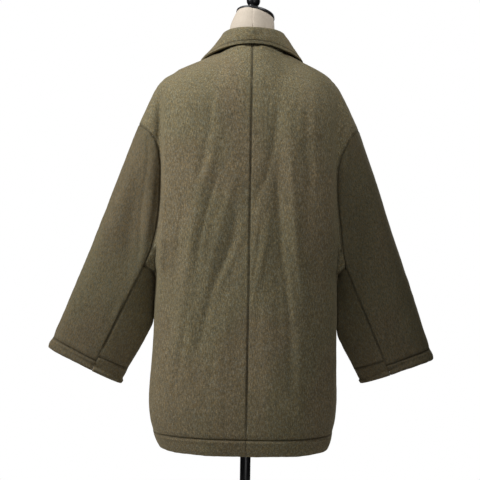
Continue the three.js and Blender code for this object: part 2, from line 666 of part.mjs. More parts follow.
/** Geometry from a list of triangle corners, turned so that its faces point out. */
function outwardFacing(positions) {
  const geometry = new THREE.BufferGeometry();
  geometry.setAttribute("position", new THREE.Float32BufferAttribute(positions, 3));
  const points = geometry.getAttribute("position");
  const [a, b, c] = [vec(), vec(), vec()];
  let volume = 0;
  for (let i = 0; i < points.count; i += 3) {
    a.fromBufferAttribute(points, i);
    b.fromBufferAttribute(points, i + 1);
    c.fromBufferAttribute(points, i + 2);
    volume += a.dot(b.cross(c));
  }
  if (volume < 0) {
    for (let i = 0; i < points.count; i += 3) {
      b.fromBufferAttribute(points, i + 1);
      c.fromBufferAttribute(points, i + 2);
      points.setXYZ(i + 1, c.x, c.y, c.z);
      points.setXYZ(i + 2, b.x, b.y, b.z);
    }
  }
  geometry.computeVertexNormals();
  return geometry;
}

/** Sinks the under layer of the fronts where the other front lies over it. */
function sinkUnderLayer(grid) {
  return grid.map((row) => row.map((p) => p.clone().setY(p.y + sunkAt(p.x))));
}

/** How far back the under layer is sunk at a distance from the centre. */
function sunkAt(x) {
  return (TURNED_WALL + LAYER_GAP) * (1 - smooth((x - BUTTON_STAND - SINK.margin) / SINK.run));
}

/** The panels and sleeves, shaped and ready to be given their thickness, by name. */
function cutCoat() {
  const hem = SKIRT_ROWS[SKIRT_ROWS.length - 1];
  const aboveHem = (i) => (i <= ARM_ROWS ? Infinity : SKIRT_ROWS[i - ARM_ROWS - 1] - hem);
  const length = SLEEVE_RINGS[SLEEVE_RINGS.length - 1];
  const aboveCuff = (i) => length - SLEEVE_RINGS[i];
  const isOpen = (a, b, sheet) => a[0] === sheet.length - 1 && b[0] === sheet.length - 1;
  const isCentre = (a, b) => a[1] === 0 && b[1] === 0;
  const pieces = [];
  for (const side of ["left", "right"]) {
    for (const face of ["back", "front"]) {
      let grid = panelGrid(side, face);
      if (face === "front" && side === "left") grid = sinkUnderLayer(grid);
      const isSeam = (a, b, sheet) => !isOpen(a, b, sheet) && !(face === "front" && isCentre(a, b));
      const outward = SIGN[side] * FACING[face];
      pieces.push(new Cloth(`${face}_${side}`, turnTo(side, grid), outward, aboveHem, HEM_BAND, isSeam));
    }
    const rings = turnTo(side, sleeveRings(side));
    const count = rings[0].length;
    const span = (from, to) => rings.map((ring) => [...ring, ...ring].slice(from, to + 1));
    const isSeam = (a, b, sheet) => !isOpen(a, b, sheet);
    const strips = {
      sleeve_upper: span(count - ARM_ROWS, count + ARM_ROWS),
      sleeve_under: span(ARM_ROWS, count - ARM_ROWS),
    };
    for (const [name, grid] of Object.entries(strips)) {
      pieces.push(new Cloth(`${name}_${side}`, grid, -SIGN[side], aboveCuff, CUFF_BAND, isSeam));
    }
  }
  const facings = () => {
    const shared = new Map();
    for (const p of pieces) addFacings(p.grid, p.outward, shared);
    return shared;
  };
  const plain = facings();
  for (const p of pieces) p.shape(plain);
  const folded = facings();
  return Object.fromEntries(pieces.map((p) => [p.name, p.sheets(folded)]));
}

/** The triangles of some sheets' outer points. */
function outerTriangles(sheets) {
  return sheets.flatMap(({ outer }) =>
    cellsOf(outer).flatMap(([i, j]) => {
      const [a, b, c, d] = [outer[i][j], outer[i + 1][j], outer[i + 1][j + 1], outer[i][j + 1]];
      return [new THREE.Triangle(a, b, c), new THREE.Triangle(a, c, d)];
    }),
  );
}

/** Moves a point out along the nearest cloth's facing until it clears it. */
function liftOff(point, triangles, clearance, outward) {
  const near = vec();
  let best = { far: Infinity };
  for (const triangle of triangles) {
    triangle.closestPointToPoint(point, near);
    const far = near.distanceTo(point);
    if (far < best.far) best = { far, triangle, foot: near.clone() };
  }
  const n = best.triangle.getNormal(vec());
  if (n.dot(outward(best.foot)) < 0) n.negate();
  const height = point.clone().sub(best.foot).dot(n);
  if (height < clearance) point.copy(best.foot).addScaledVector(n, clearance);
}

/** Where the collar's stand meets each panel's neck edge, from the left end round the nape to the right. */
function collarStations(sheets) {
  const along = (side, face, from, to) => {
    const { outer, inner } = sheets[`${face}_${side}`];
    const { stand, neck } = COLUMNS[face];
    const list = [];
    for (let k = 0; k <= neck; k++) {
      const j = stand + k;
      const seam = outer[0][j + 1].clone().sub(outer[0][Math.max(0, j - 1)]);
      const lift = seam.cross(inner[0][j].clone().sub(outer[0][j])).setLength(SEAM_GAP);
      if (lift.dot(outer[0][j].clone().sub(outer[1][j])) < 0) lift.negate();
      const [out, inside] = [outer[0][j], inner[0][j]].map((p) => p.clone().add(lift));
      list.push({ side, angle: mix(from, to, k / neck), out, in: inside });
    }
    return list;
  };
  const half = (side) => {
    const front = along(side, "front", 180, 90);
    const short = COLLAR_END_GAP / front[0].out.distanceTo(front[1].out);
    front[0].out.lerp(front[1].out, short);
    front[0].in.lerp(front[1].in, short);
    return [...front, ...along(side, "back", 0, 90).reverse().slice(1)];
  };
  return [...half("left"), ...half("right").reverse().slice(1)];
}

/** The collar in one piece: a stand on the neck seam, a roll, and a leaf that falls over it. */
function makeCollar(sheets) {
  const body = Object.entries(sheets).filter(([name]) => !name.startsWith("sleeve")).map(([, s]) => s);
  const top = (s) => s.outer.slice(0, ARM_ROWS);
  const under = outerTriangles(body.map((s) => ({ outer: top(s) })));
  const upAndOut = (p) => vec(p.x, p.y, 0).setLength(1).add(vec(0, 0, 1));
  const stations = collarStations(sheets);
  const middle = stations.map((s) => {
    const get = (column) => look(COLLAR, "angle", s.angle, column);
    const sign = SIGN[s.side];
    const sunk = s.side === "left" ? sunkAt(Math.abs(s.out.x)) : 0;
    const rollStart = vec(get(s.side) * sign, get("y") + sunk, get("z"));
    const leafEdge = vec(get("leafX") * sign, get("leafY"), get("leafZ"));
    const out = vec(leafEdge.x - rollStart.x, leafEdge.y - rollStart.y, 0).normalize();
    const seam = s.out.clone().lerp(s.in, 0.5);
    const line = [seam, seam.clone().lerp(rollStart, STAND_MIDDLE), rollStart];
    for (const turn of evenShares(ROLL.steps).slice(1)) {
      const p = rollStart.clone().addScaledVector(out, ROLL.radius * (1 - Math.cos(Math.PI * turn)));
      p.z += ROLL.radius * Math.sin(Math.PI * turn);
      line.push(p);
    }
    const start = line[line.length - 1];
    const bulge = look(COLLAR_BULGE, "angle", s.angle, s.side);
    for (const t of LEAF_STEPS) {
      const p = start.clone().lerp(leafEdge, t).addScaledVector(out, bulge * Math.sin(Math.PI * t));
      liftOff(p, under, COLLAR_WALL / 2 + LEAF_CLEARANCE, upAndOut);
      line.push(p);
    }
    return line;
  });
  const facings = new Map();
  addFacings(middle, 1, facings);
  const facing = (p) => facings.get(spot(p)).clone().normalize();
  const moved = (p, amount) => p.clone().addScaledVector(facing(p), amount);
  const shifted = (amount) => middle.map((line) => line.map((p) => moved(p, amount)));
  const [outer, inner] = [shifted(COLLAR_WALL / 2), shifted(-COLLAR_WALL / 2)];
  // The stand starts face to face with the panels' neck edges.
  stations.forEach((s, k) => {
    outer[k][0] = s.out;
    inner[k][0] = s.in;
  });
  return wallBetween(outer, inner);
}

/** A button lying face up on the XY plane, dished inside its rim. */
function makeButton() {
  const { radius, edge, rim, thickness, dish, sides } = BUTTON;
  const profile = [
    [0, 0],
    [radius - edge, 0],
    [radius, edge],
    [radius, thickness - edge],
    [radius - edge, thickness],
    [radius - rim, thickness - dish],
    [0, thickness - dish],
  ];
  return turnedSolid(profile, sides);
}

/** Where a ray from in front meets some triangles. */
function frontAt(triangles, x, z) {
  const ray = new THREE.Ray(vec(x, 10 * NECK.front * FACING.front, z), vec(0, 1, 0));
  const hits = triangles.map((t) => ray.intersectTriangle(t.a, t.b, t.c, false, vec())).filter(Boolean);
  return Math.min(...hits.map((p) => p.y));
}

/** Lays a button on the over layer's front, turned to the cloth and just clear of it. */
function seatButton(mesh, triangles, z) {
  const r = BUTTON.radius;
  const slopeX = (frontAt(triangles, r, z) - frontAt(triangles, -r, z)) / (2 * r);
  const slopeZ = (frontAt(triangles, 0, z + r) - frontAt(triangles, 0, z - r)) / (2 * r);
  const normal = vec(slopeX, -1, slopeZ).normalize();
  const centre = vec(0, frontAt(triangles, 0, z), z);
  mesh.quaternion.setFromUnitVectors(vec(0, 0, 1), normal);
  let lift = 0;
  for (const turn of evenShares(BUTTON_PROBES.spokes)) {
    for (const ring of evenShares(BUTTON_PROBES.rings)) {
      const a = 2 * Math.PI * turn;
      const [dx, dz] = [ring * r * Math.cos(a), ring * r * Math.sin(a)];
      const cloth = vec(dx, frontAt(triangles, dx, z + dz), z + dz);
      lift = Math.max(lift, cloth.sub(centre).dot(normal));
    }
  }
  mesh.position.copy(centre.addScaledVector(normal, lift + SEAM_GAP));
}

/** The dress form as one lofted solid, its neck cut on a slant. */
function makeForm() {
  const top = FORM[FORM.length - 1].z;
  const rings = FORM.map(({ z, ...sizes }) => {
    const slant = smooth((z - NECK_TILT.startZ) / (top - NECK_TILT.startZ));
    return ovalPoints(sizes, z < NECK_TILT.startZ ? FORM_SQUARENESS : 2).map(([x, y]) =>
      vec(x, y, z + slant * (NECK_TILT.back * y + NECK_TILT.side * x)),
    );
  });
  const triangles = [];
  for (let i = 0; i < rings.length - 1; i++) {
    for (let k = 0; k < FORM_SIDES; k++) {
      const n = (k + 1) % FORM_SIDES;
      const [a, b, c, d] = [rings[i][k], rings[i][n], rings[i + 1][n], rings[i + 1][k]];
      triangles.push([a, b, c], [a, c, d]);
    }
  }
  const lowest = rings[0];
  const highest = rings[rings.length - 1];
  for (let k = 1; k < FORM_SIDES - 1; k++) {
    triangles.push([lowest[0], lowest[k + 1], lowest[k]], [highest[0], highest[k], highest[k + 1]]);
  }
  return outwardFacing(triangles.flat().flatMap((p) => [p.x, p.y, p.z]));
}

/** Points round a squared oval, as [x, y] pairs. */
function ovalPoints({ left, right, back, front }, squareness, inset = 0) {
  const squeeze = 2 / squareness;
  const reach = (v, plus, minus) => Math.sign(v) * ((v > 0 ? plus : minus) - inset) * Math.abs(v) ** squeeze;
  return Array.from({ length: FORM_SIDES }, (_, k) => {
    const a = (2 * Math.PI * k) / FORM_SIDES;
    return [reach(Math.sin(a), left, right), reach(Math.cos(a), back, -front)];
  });
}

/** A turned solid from [radius, height] pairs, standing along +Z. */
function turnedSolid(profile, sides) {
  const points = profile.map(([r, y]) => new THREE.Vector2(r, y));
  return new THREE.LatheGeometry(points, sides).rotateX(Math.PI / 2);
}

/** The oval plate under the form. */
function makePlate() {
  const outline = ovalPoints(FORM[0], FORM_SQUARENESS, PLATE.inset);
  const shape = new THREE.Shape(outline.map(([x, y]) => new THREE.Vector2(x, y)));
  return new THREE.ExtrudeGeometry(shape, { depth: PLATE.thickness, bevelEnabled: false });
}

/** The round cap on the neck, standing along +Z. */
function makeCap() {
  const { radius, thickness, edge, sides } = CAP;
  const profile = [
    [0, 0],
    [radius - edge, 0],
    [radius, edge],
    [radius, thickness - edge],
    [radius - edge, thickness],
    [0, thickness],
  ];
  return turnedSolid(profile, sides);
}

/** The finial: a short foot and a ball, standing along +Z. */
function makeFinial() {
  const { foot, footEdge, waist, footHeight, ball, steps, sides } = FINIAL;
  const start = -Math.acos(waist / ball);
  const centre = footHeight - ball * Math.sin(start);
  const profile = [[0, 0], [foot, 0], [foot, footEdge]];
  for (const share of evenShares(steps)) {
    const a = mix(start, Math.PI / 2, share);
    profile.push([share === 1 ? 0 : ball * Math.cos(a), centre + ball * Math.sin(a)]);
  }
  return turnedSolid(profile, sides);
}

const group = new THREE.Group();

function add(name, geometry, material, position = [0, 0, 0], parent = group) {
  const mesh = new THREE.Mesh(geometry, material);
  mesh.name = name;
  mesh.position.set(...position);
  parent.add(mesh);
  return mesh;
}

const sheets = cutCoat();
for (const [name, { outer, inner }] of Object.entries(sheets)) {
  add(name, wallBetween(outer, inner), MATERIALS.wool);
}
add("collar", makeCollar(sheets), MATERIALS.wool);

const overLayer = outerTriangles([sheets.front_right]);
BUTTON_HEIGHTS.forEach((z, k) => {
  seatButton(add(`button_${k + 1}`, makeButton(), MATERIALS.button), overLayer, z);
});

add("form_torso", makeForm(), MATERIALS.linen);
const plateZ = FORM[0].z - SEAM_GAP - PLATE.thickness;
add("form_plate", makePlate(), MATERIALS.black, [0, 0, plateZ]);

const slanted = new THREE.Group();
slanted.position.set(CAP.offset, 0, FORM[FORM.length - 1].z + NECK_TILT.side * CAP.offset);
slanted.quaternion.setFromUnitVectors(vec(0, 0, 1), vec(-NECK_TILT.side, -NECK_TILT.back, 1).normalize());
group.add(slanted);
add("neck_cap", makeCap(), MATERIALS.black, [0, 0, SEAM_GAP], slanted);
add("finial", makeFinial(), MATERIALS.black, [FINIAL.offset, 0, CAP.thickness + 2 * SEAM_GAP], slanted);

const poleBottom = BASE[BASE.length - 1].z + SEAM_GAP;
const poleTop = plateZ - SEAM_GAP;
const pole = new THREE.CylinderGeometry(POLE.radius, POLE.radius, poleTop - poleBottom, POLE.sides);
add("pole", pole.rotateX(Math.PI / 2), MATERIALS.black, [0, 0, (poleTop + poleBottom) / 2]);
const baseProfile = BASE.map(({ radius, z }) => [radius, z]);
add("base", turnedSolid(baseProfile, BASE_SIDES), MATERIALS.black);

export default group;
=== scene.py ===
"""Dresses the padded wool coat and its limbless dress form, and lights them as in the photograph.

Lengths are in metres in the part's frame: +Z is up, the coat's front faces -Y and the wearer's left is +X.
The coat's panels are copied from the CAD nodes, rounded and refined, and their padding, seams, stitched
lines and creases are raised in the mesh. The form's metal and turned pieces are lathed anew.
"""
import functools
import itertools
import logging
import math
from collections.abc import Callable, Iterable, Sequence
from dataclasses import dataclass
from enum import Enum
from typing import ClassVar

import bmesh
import bpy
import numpy as np
from mathutils import Matrix, Vector
from mathutils.bvhtree import BVHTree
from mathutils.kdtree import KDTree

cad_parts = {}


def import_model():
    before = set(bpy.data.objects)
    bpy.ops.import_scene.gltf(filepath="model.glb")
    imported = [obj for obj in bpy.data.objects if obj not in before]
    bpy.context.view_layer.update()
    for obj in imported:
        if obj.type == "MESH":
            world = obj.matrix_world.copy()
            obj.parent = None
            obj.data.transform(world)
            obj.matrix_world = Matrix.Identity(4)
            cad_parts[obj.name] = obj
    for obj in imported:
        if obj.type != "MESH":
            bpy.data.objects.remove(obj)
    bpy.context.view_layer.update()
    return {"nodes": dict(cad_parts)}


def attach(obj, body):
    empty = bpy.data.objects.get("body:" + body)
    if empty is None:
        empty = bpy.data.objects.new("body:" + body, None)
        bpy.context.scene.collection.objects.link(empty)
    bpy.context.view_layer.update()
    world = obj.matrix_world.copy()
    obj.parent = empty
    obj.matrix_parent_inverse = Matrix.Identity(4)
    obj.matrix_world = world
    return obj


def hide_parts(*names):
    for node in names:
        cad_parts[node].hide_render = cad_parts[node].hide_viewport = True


LOG = logging.getLogger("coat")
MM = 0.001
BODY = "root"
# The vertex attribute of painted shade along seams and stitched lines, from 0 to 1
SEAM_PAINTED_SHADE = "seam_painted_shade"
WELD = 0.01 * MM
LATHE_WELD = 0.002 * MM
CUT_WELD = 0.001 * MM
QUAD_FACE_TURN = math.radians(60)
QUAD_SHAPE_TURN = math.radians(70)

Screen = tuple[int, int, int]
Linear = tuple[float, float, float, float]
Triple = tuple[float, float, float]
Pair = tuple[float, float]
Nodes = dict[str, bpy.types.Object]


class Slot(Enum):
    """The record's material slots."""

    WOOL = "wool"
    BUTTON = "button"
    LINEN = "linen"
    BLACK = "black"


class Side(Enum):
    """The wearer's sides, by the sign of X."""

    LEFT = 1
    RIGHT = -1


class Zone(Enum):
    """Which part of a panel's wall a face belongs to, as its material index while it is worked."""

    OUTER = 0
    INNER = 1
    RIM = 2


# Materials


@dataclass(frozen=True)
class Speckle:
    """A noise texture: its cells in a metre, its octaves, and how strong each finer octave is."""

    scale: float
    detail: float = 2.0
    rough: float = 0.5


class NodeTree:
    """Adds and links nodes in one material or node group."""

    def __init__(self, tree: bpy.types.NodeTree) -> None:
        """Wraps a node tree."""
        self.tree = tree

    def add(self, kind: str, **settings: object) -> bpy.types.Node:
        """Adds a node and sets its properties.

        Args:
            kind: The node's type name.
            settings: Properties of the node by name.

        Returns:
            The new node.
        """
        node = self.tree.nodes.new(kind)
        for name, value in settings.items():
            setattr(node, name, value)
        return node

    def feed(self, socket: bpy.types.NodeSocket, value: object) -> None:
        """Links a socket's input to another socket, or sets it to a plain value.

        Args:
            socket: The input to fill.
            value: An output socket, a number or a tuple.
        """
        if isinstance(value, bpy.types.NodeSocket):
            self.tree.links.new(value, socket)
        else:
            socket.default_value = value

    def math(self, operation: str, first: object, second: object = 0.0) -> bpy.types.NodeSocket:
        """One Math node.

        Args:
            operation: The node's operation.
            first: Its first input.
            second: Its second input.

        Returns:
            The node's output.
        """
        node = self.add("ShaderNodeMath", operation=operation)
        self.feed(node.inputs[0], first)
        self.feed(node.inputs[1], second)
        return node.outputs[0]

    def total(self, *parts: tuple[object, float]) -> bpy.types.NodeSocket:
        """Adds up values, each times its weight.

        Args:
            parts: Each value with its weight.

        Returns:
            The sum.
        """
        products = [self.math("MULTIPLY", value, weight) for value, weight in parts]
        return functools.reduce(functools.partial(self.math, "ADD"), products)

    def noise(self, vector: object, speckle: Speckle, output: int | str = 0) -> bpy.types.NodeSocket:
        """One Noise Texture.

        Args:
            vector: The coordinates.
            speckle: Its cells and octaves.
            output: Which of its outputs is wanted.

        Returns:
            The texture's value or colour.
        """
        node = self.add("ShaderNodeTexNoise")
        self.feed(node.inputs["Vector"], vector)
        node.inputs["Scale"].default_value = speckle.scale
        node.inputs["Detail"].default_value = speckle.detail
        node.inputs["Roughness"].default_value = speckle.rough
        return node.outputs[output]

    def scaled(self, vector: object, scale: Sequence[float], turn: Sequence[float] = (0, 0, 0),
               shift: Sequence[float] = (0, 0, 0)) -> bpy.types.NodeSocket:
        """One Mapping node.

        Args:
            vector: The coordinates.
            scale: The factor along each axis, after the turn.
            turn: Rotation in radians.
            shift: Offset in metres.

        Returns:
            The new coordinates.
        """
        node = self.add("ShaderNodeMapping", vector_type="POINT")
        self.feed(node.inputs["Vector"], vector)
        node.inputs["Location"].default_value = shift
        node.inputs["Rotation"].default_value = turn
        node.inputs["Scale"].default_value = scale
        return node.outputs[0]

    def mix(self, share: object, first: object, second: object, blend: str = "MIX") -> bpy.types.NodeSocket:
        """Mixes two colours.

        Args:
            share: How much of the second colour shows.
            first: The first colour.
            second: The second colour.
            blend: The node's blend type.

        Returns:
            The mixed colour.
        """
        node = self.add("ShaderNodeMix", data_type="RGBA", clamp_factor=True, blend_type=blend)
        self.feed(node.inputs[0], share)
        self.feed(node.inputs[6], first)
        self.feed(node.inputs[7], second)
        return node.outputs[2]

    def band(self, value: object, low: float, high: float, bottom: float = 0.0,
             top: float = 1.0) -> bpy.types.NodeSocket:
        """Maps a value's range to another one, clamped.

        Args:
            value: The input.
            low: The input that gives bottom.
            high: The input that gives top.
            bottom: The least output.
            top: The greatest output.

        Returns:
            The mapped value.
        """
        node = self.add("ShaderNodeMapRange", clamp=True)
        self.feed(node.inputs[0], value)
        for index, number in enumerate((low, high, bottom, top), start=1):
            node.inputs[index].default_value = number
        return node.outputs[0]


class Srgb:
    """The screen's transfer curve, as its standard gives it: a straight toe, then a power."""

    STEPS = 255
    TOE_END = 0.04045
    TOE_SLOPE = 12.92
    OFFSET = 0.055
    POWER = 2.4

    @classmethod
    def linear(cls, colour: Screen) -> Linear:
        """Turns a screen colour into a linear one.

        Args:
            colour: Red, green and blue from 0 to 255.

        Returns:
            Linear red, green, blue and alpha.
        """
        shares = [value / cls.STEPS for value in colour]
        red, green, blue = (
            share / cls.TOE_SLOPE if share <= cls.TOE_END
            else ((share + cls.OFFSET) / (1 + cls.OFFSET)) ** cls.POWER for share in shares)
        return red, green, blue, 1.0


class Effects:
    """The shader node groups that more than one material uses, each built once."""

    STREAK = Speckle(560, 3, 0.6)
    FLECK = Speckle(900, 2, 0.65)
    CLUMP = Speckle(330, 2, 0.6)
    STREAK_SHARE, FLECK_SHARE, CLUMP_SHARE = 0.5, 0.25, 0.25
    TONE_BAND = (0.37, 0.63)
    FUZZ = Speckle(2600, 3, 0.7)
    FUZZ_SHARE, FUZZ_STREAK_SHARE = 0.6, 0.4
    WANDER = Speckle(260)
    WANDER_BY = 0.6 * MM
    TWO_SINES = (-2, 2)
    GAP_BAND = (0.32, 0.1)
    PATCH = Speckle(14, 4, 0.55)

    @staticmethod
    def group(name: str, inputs: dict[str, float], outputs: Sequence[str]) -> tuple[
            bpy.types.NodeTree, NodeTree, bpy.types.Node, bpy.types.Node]:
        """Starts a node group with a vector input, number inputs and number outputs.

        Args:
            name: The group's name.
            inputs: Names and first values of the number inputs.
            outputs: Names of the number outputs.

        Returns:
            The group, its helper, its input node and its output node.
        """
        tree = bpy.data.node_groups.new(name, "ShaderNodeTree")
        tree.interface.new_socket("Vector", in_out="INPUT", socket_type="NodeSocketVector")
        for label, value in inputs.items():
            socket = tree.interface.new_socket(label, in_out="INPUT", socket_type="NodeSocketFloat")
            socket.default_value = value
        for label in outputs:
            tree.interface.new_socket(label, in_out="OUTPUT", socket_type="NodeSocketFloat")
        nodes = NodeTree(tree)
        return tree, nodes, nodes.add("NodeGroupInput"), nodes.add("NodeGroupOutput")

    @classmethod
    def flecks(cls) -> bpy.types.NodeTree:
        """Streaks and flecks of mixed fibres: Tone from 0 to 1, and Height of the fibres.

        Returns:
            The node group.
        """
        if found := bpy.data.node_groups.get("mixed_fibres"):
            return found
        tree, nodes, start, end = cls.group(
            "mixed_fibres", {"Size": 1.0, "Stretch": 0.14}, ("Tone", "Height"))
        size = nodes.add("ShaderNodeVectorMath", operation="SCALE")
        nodes.feed(size.inputs[0], start.outputs["Vector"])
        nodes.feed(size.inputs["Scale"], start.outputs["Size"])
        split = nodes.add("ShaderNodeSeparateXYZ")
        nodes.feed(split.inputs[0], size.outputs[0])
        long = nodes.add("ShaderNodeCombineXYZ")
        nodes.feed(long.inputs[0], split.outputs[0])
        nodes.feed(long.inputs[1], split.outputs[1])
        nodes.feed(long.inputs[2], nodes.math("MULTIPLY", split.outputs[2], start.outputs["Stretch"]))
        streak = nodes.noise(long.outputs[0], cls.STREAK)
        fleck = nodes.noise(size.outputs[0], cls.FLECK)
        clump = nodes.noise(size.outputs[0], cls.CLUMP)
        mixed = nodes.total((streak, cls.STREAK_SHARE), (fleck, cls.FLECK_SHARE), (clump, cls.CLUMP_SHARE))
        nodes.feed(end.inputs["Tone"], nodes.band(mixed, *cls.TONE_BAND))
        fuzz = nodes.noise(size.outputs[0], cls.FUZZ)
        nodes.feed(end.inputs["Height"], nodes.total((fuzz, cls.FUZZ_SHARE), (streak, cls.FUZZ_STREAK_SHARE)))
        return tree

    @classmethod
    def weave(cls) -> bpy.types.NodeTree:
        """Crossing threads: Height, highest on the threads' crowns, and Gap between them.

        Returns:
            The node group.
        """
        if found := bpy.data.node_groups.get("crossing_threads"):
            return found
        tree, nodes, start, end = cls.group(
            "crossing_threads", {"Across": 5000.0, "Along": 5000.0, "Slant": 0.0}, ("Height", "Gap"))
        bent = nodes.add("ShaderNodeVectorMath", operation="ADD")
        nodes.feed(bent.inputs[0], start.outputs["Vector"])
        wander = nodes.add("ShaderNodeVectorMath", operation="SCALE")
        nodes.feed(wander.inputs[0], nodes.noise(start.outputs["Vector"], cls.WANDER, "Color"))
        wander.inputs["Scale"].default_value = cls.WANDER_BY
        nodes.feed(bent.inputs[1], wander.outputs[0])
        split = nodes.add("ShaderNodeSeparateXYZ")
        nodes.feed(split.inputs[0], bent.outputs[0])
        side = nodes.math("ADD", split.outputs[0], split.outputs[1])
        lean = nodes.math("MULTIPLY", split.outputs[2], start.outputs["Slant"])
        slanted = nodes.math("ADD", side, lean)
        across = nodes.math("SINE", nodes.math("MULTIPLY", slanted, start.outputs["Across"]))
        along = nodes.math("SINE", nodes.math("MULTIPLY", split.outputs[2], start.outputs["Along"]))
        height = nodes.band(nodes.math("ADD", across, along), *cls.TWO_SINES)
        nodes.feed(end.inputs["Height"], height)
        nodes.feed(end.inputs["Gap"], nodes.band(height, *cls.GAP_BAND))
        return tree

    @classmethod
    def dust(cls) -> bpy.types.NodeTree:
        """Soft uneven patches of dust, fingermarks or wear: Amount from 0 to 1.

        Returns:
            The node group.
        """
        if found := bpy.data.node_groups.get("soft_patches"):
            return found
        tree, nodes, start, end = cls.group("soft_patches", {"Low": 0.45, "High": 0.7}, ("Amount",))
        node = nodes.add("ShaderNodeMapRange", clamp=True)
        nodes.feed(node.inputs[0], nodes.noise(start.outputs["Vector"], cls.PATCH))
        nodes.feed(node.inputs[1], start.outputs["Low"])
        nodes.feed(node.inputs[2], start.outputs["High"])
        nodes.feed(end.inputs["Amount"], node.outputs[0])
        return tree


class Finish:
    """A finish that builds one material."""

    name: str

    def start(self) -> tuple[bpy.types.Material, NodeTree, bpy.types.Node, bpy.types.NodeSocket]:
        """Opens a new material.

        Returns:
            The material, its node helper, its Principled BSDF and the Object coordinates.
        """
        material = bpy.data.materials.new(self.name)
        material.use_nodes = True
        nodes = NodeTree(material.node_tree)
        shader = material.node_tree.nodes["Principled BSDF"]
        return material, nodes, shader, nodes.add("ShaderNodeTexCoord").outputs["Object"]

    @staticmethod
    def placed(nodes: NodeTree, tree: bpy.types.NodeTree, vector: object, **values: float) -> bpy.types.Node:
        """Places a node group with its own values.

        Args:
            nodes: The material's helper.
            tree: The node group.
            vector: Its coordinates.
            values: Its number inputs by name.

        Returns:
            The group's node.
        """
        node = nodes.add("ShaderNodeGroup", node_tree=tree)
        nodes.feed(node.inputs["Vector"], vector)
        for label, value in values.items():
            node.inputs[label].default_value = value
        return node

    @staticmethod
    def bump(nodes: NodeTree, height: object, relief: Pair, under: object = None) -> bpy.types.NodeSocket:
        """One Bump node.

        Args:
            nodes: The material's helper.
            height: The height from 0 to 1.
            relief: The height's size in metres, and how strongly it shows.
            under: The normal that it bends, if any.

        Returns:
            The bent normal.
        """
        node = nodes.add("ShaderNodeBump")
        node.inputs["Distance"].default_value, node.inputs["Strength"].default_value = relief
        nodes.feed(node.inputs["Height"], height)
        if under is not None:
            nodes.feed(node.inputs["Normal"], under)
        return node.outputs[0]


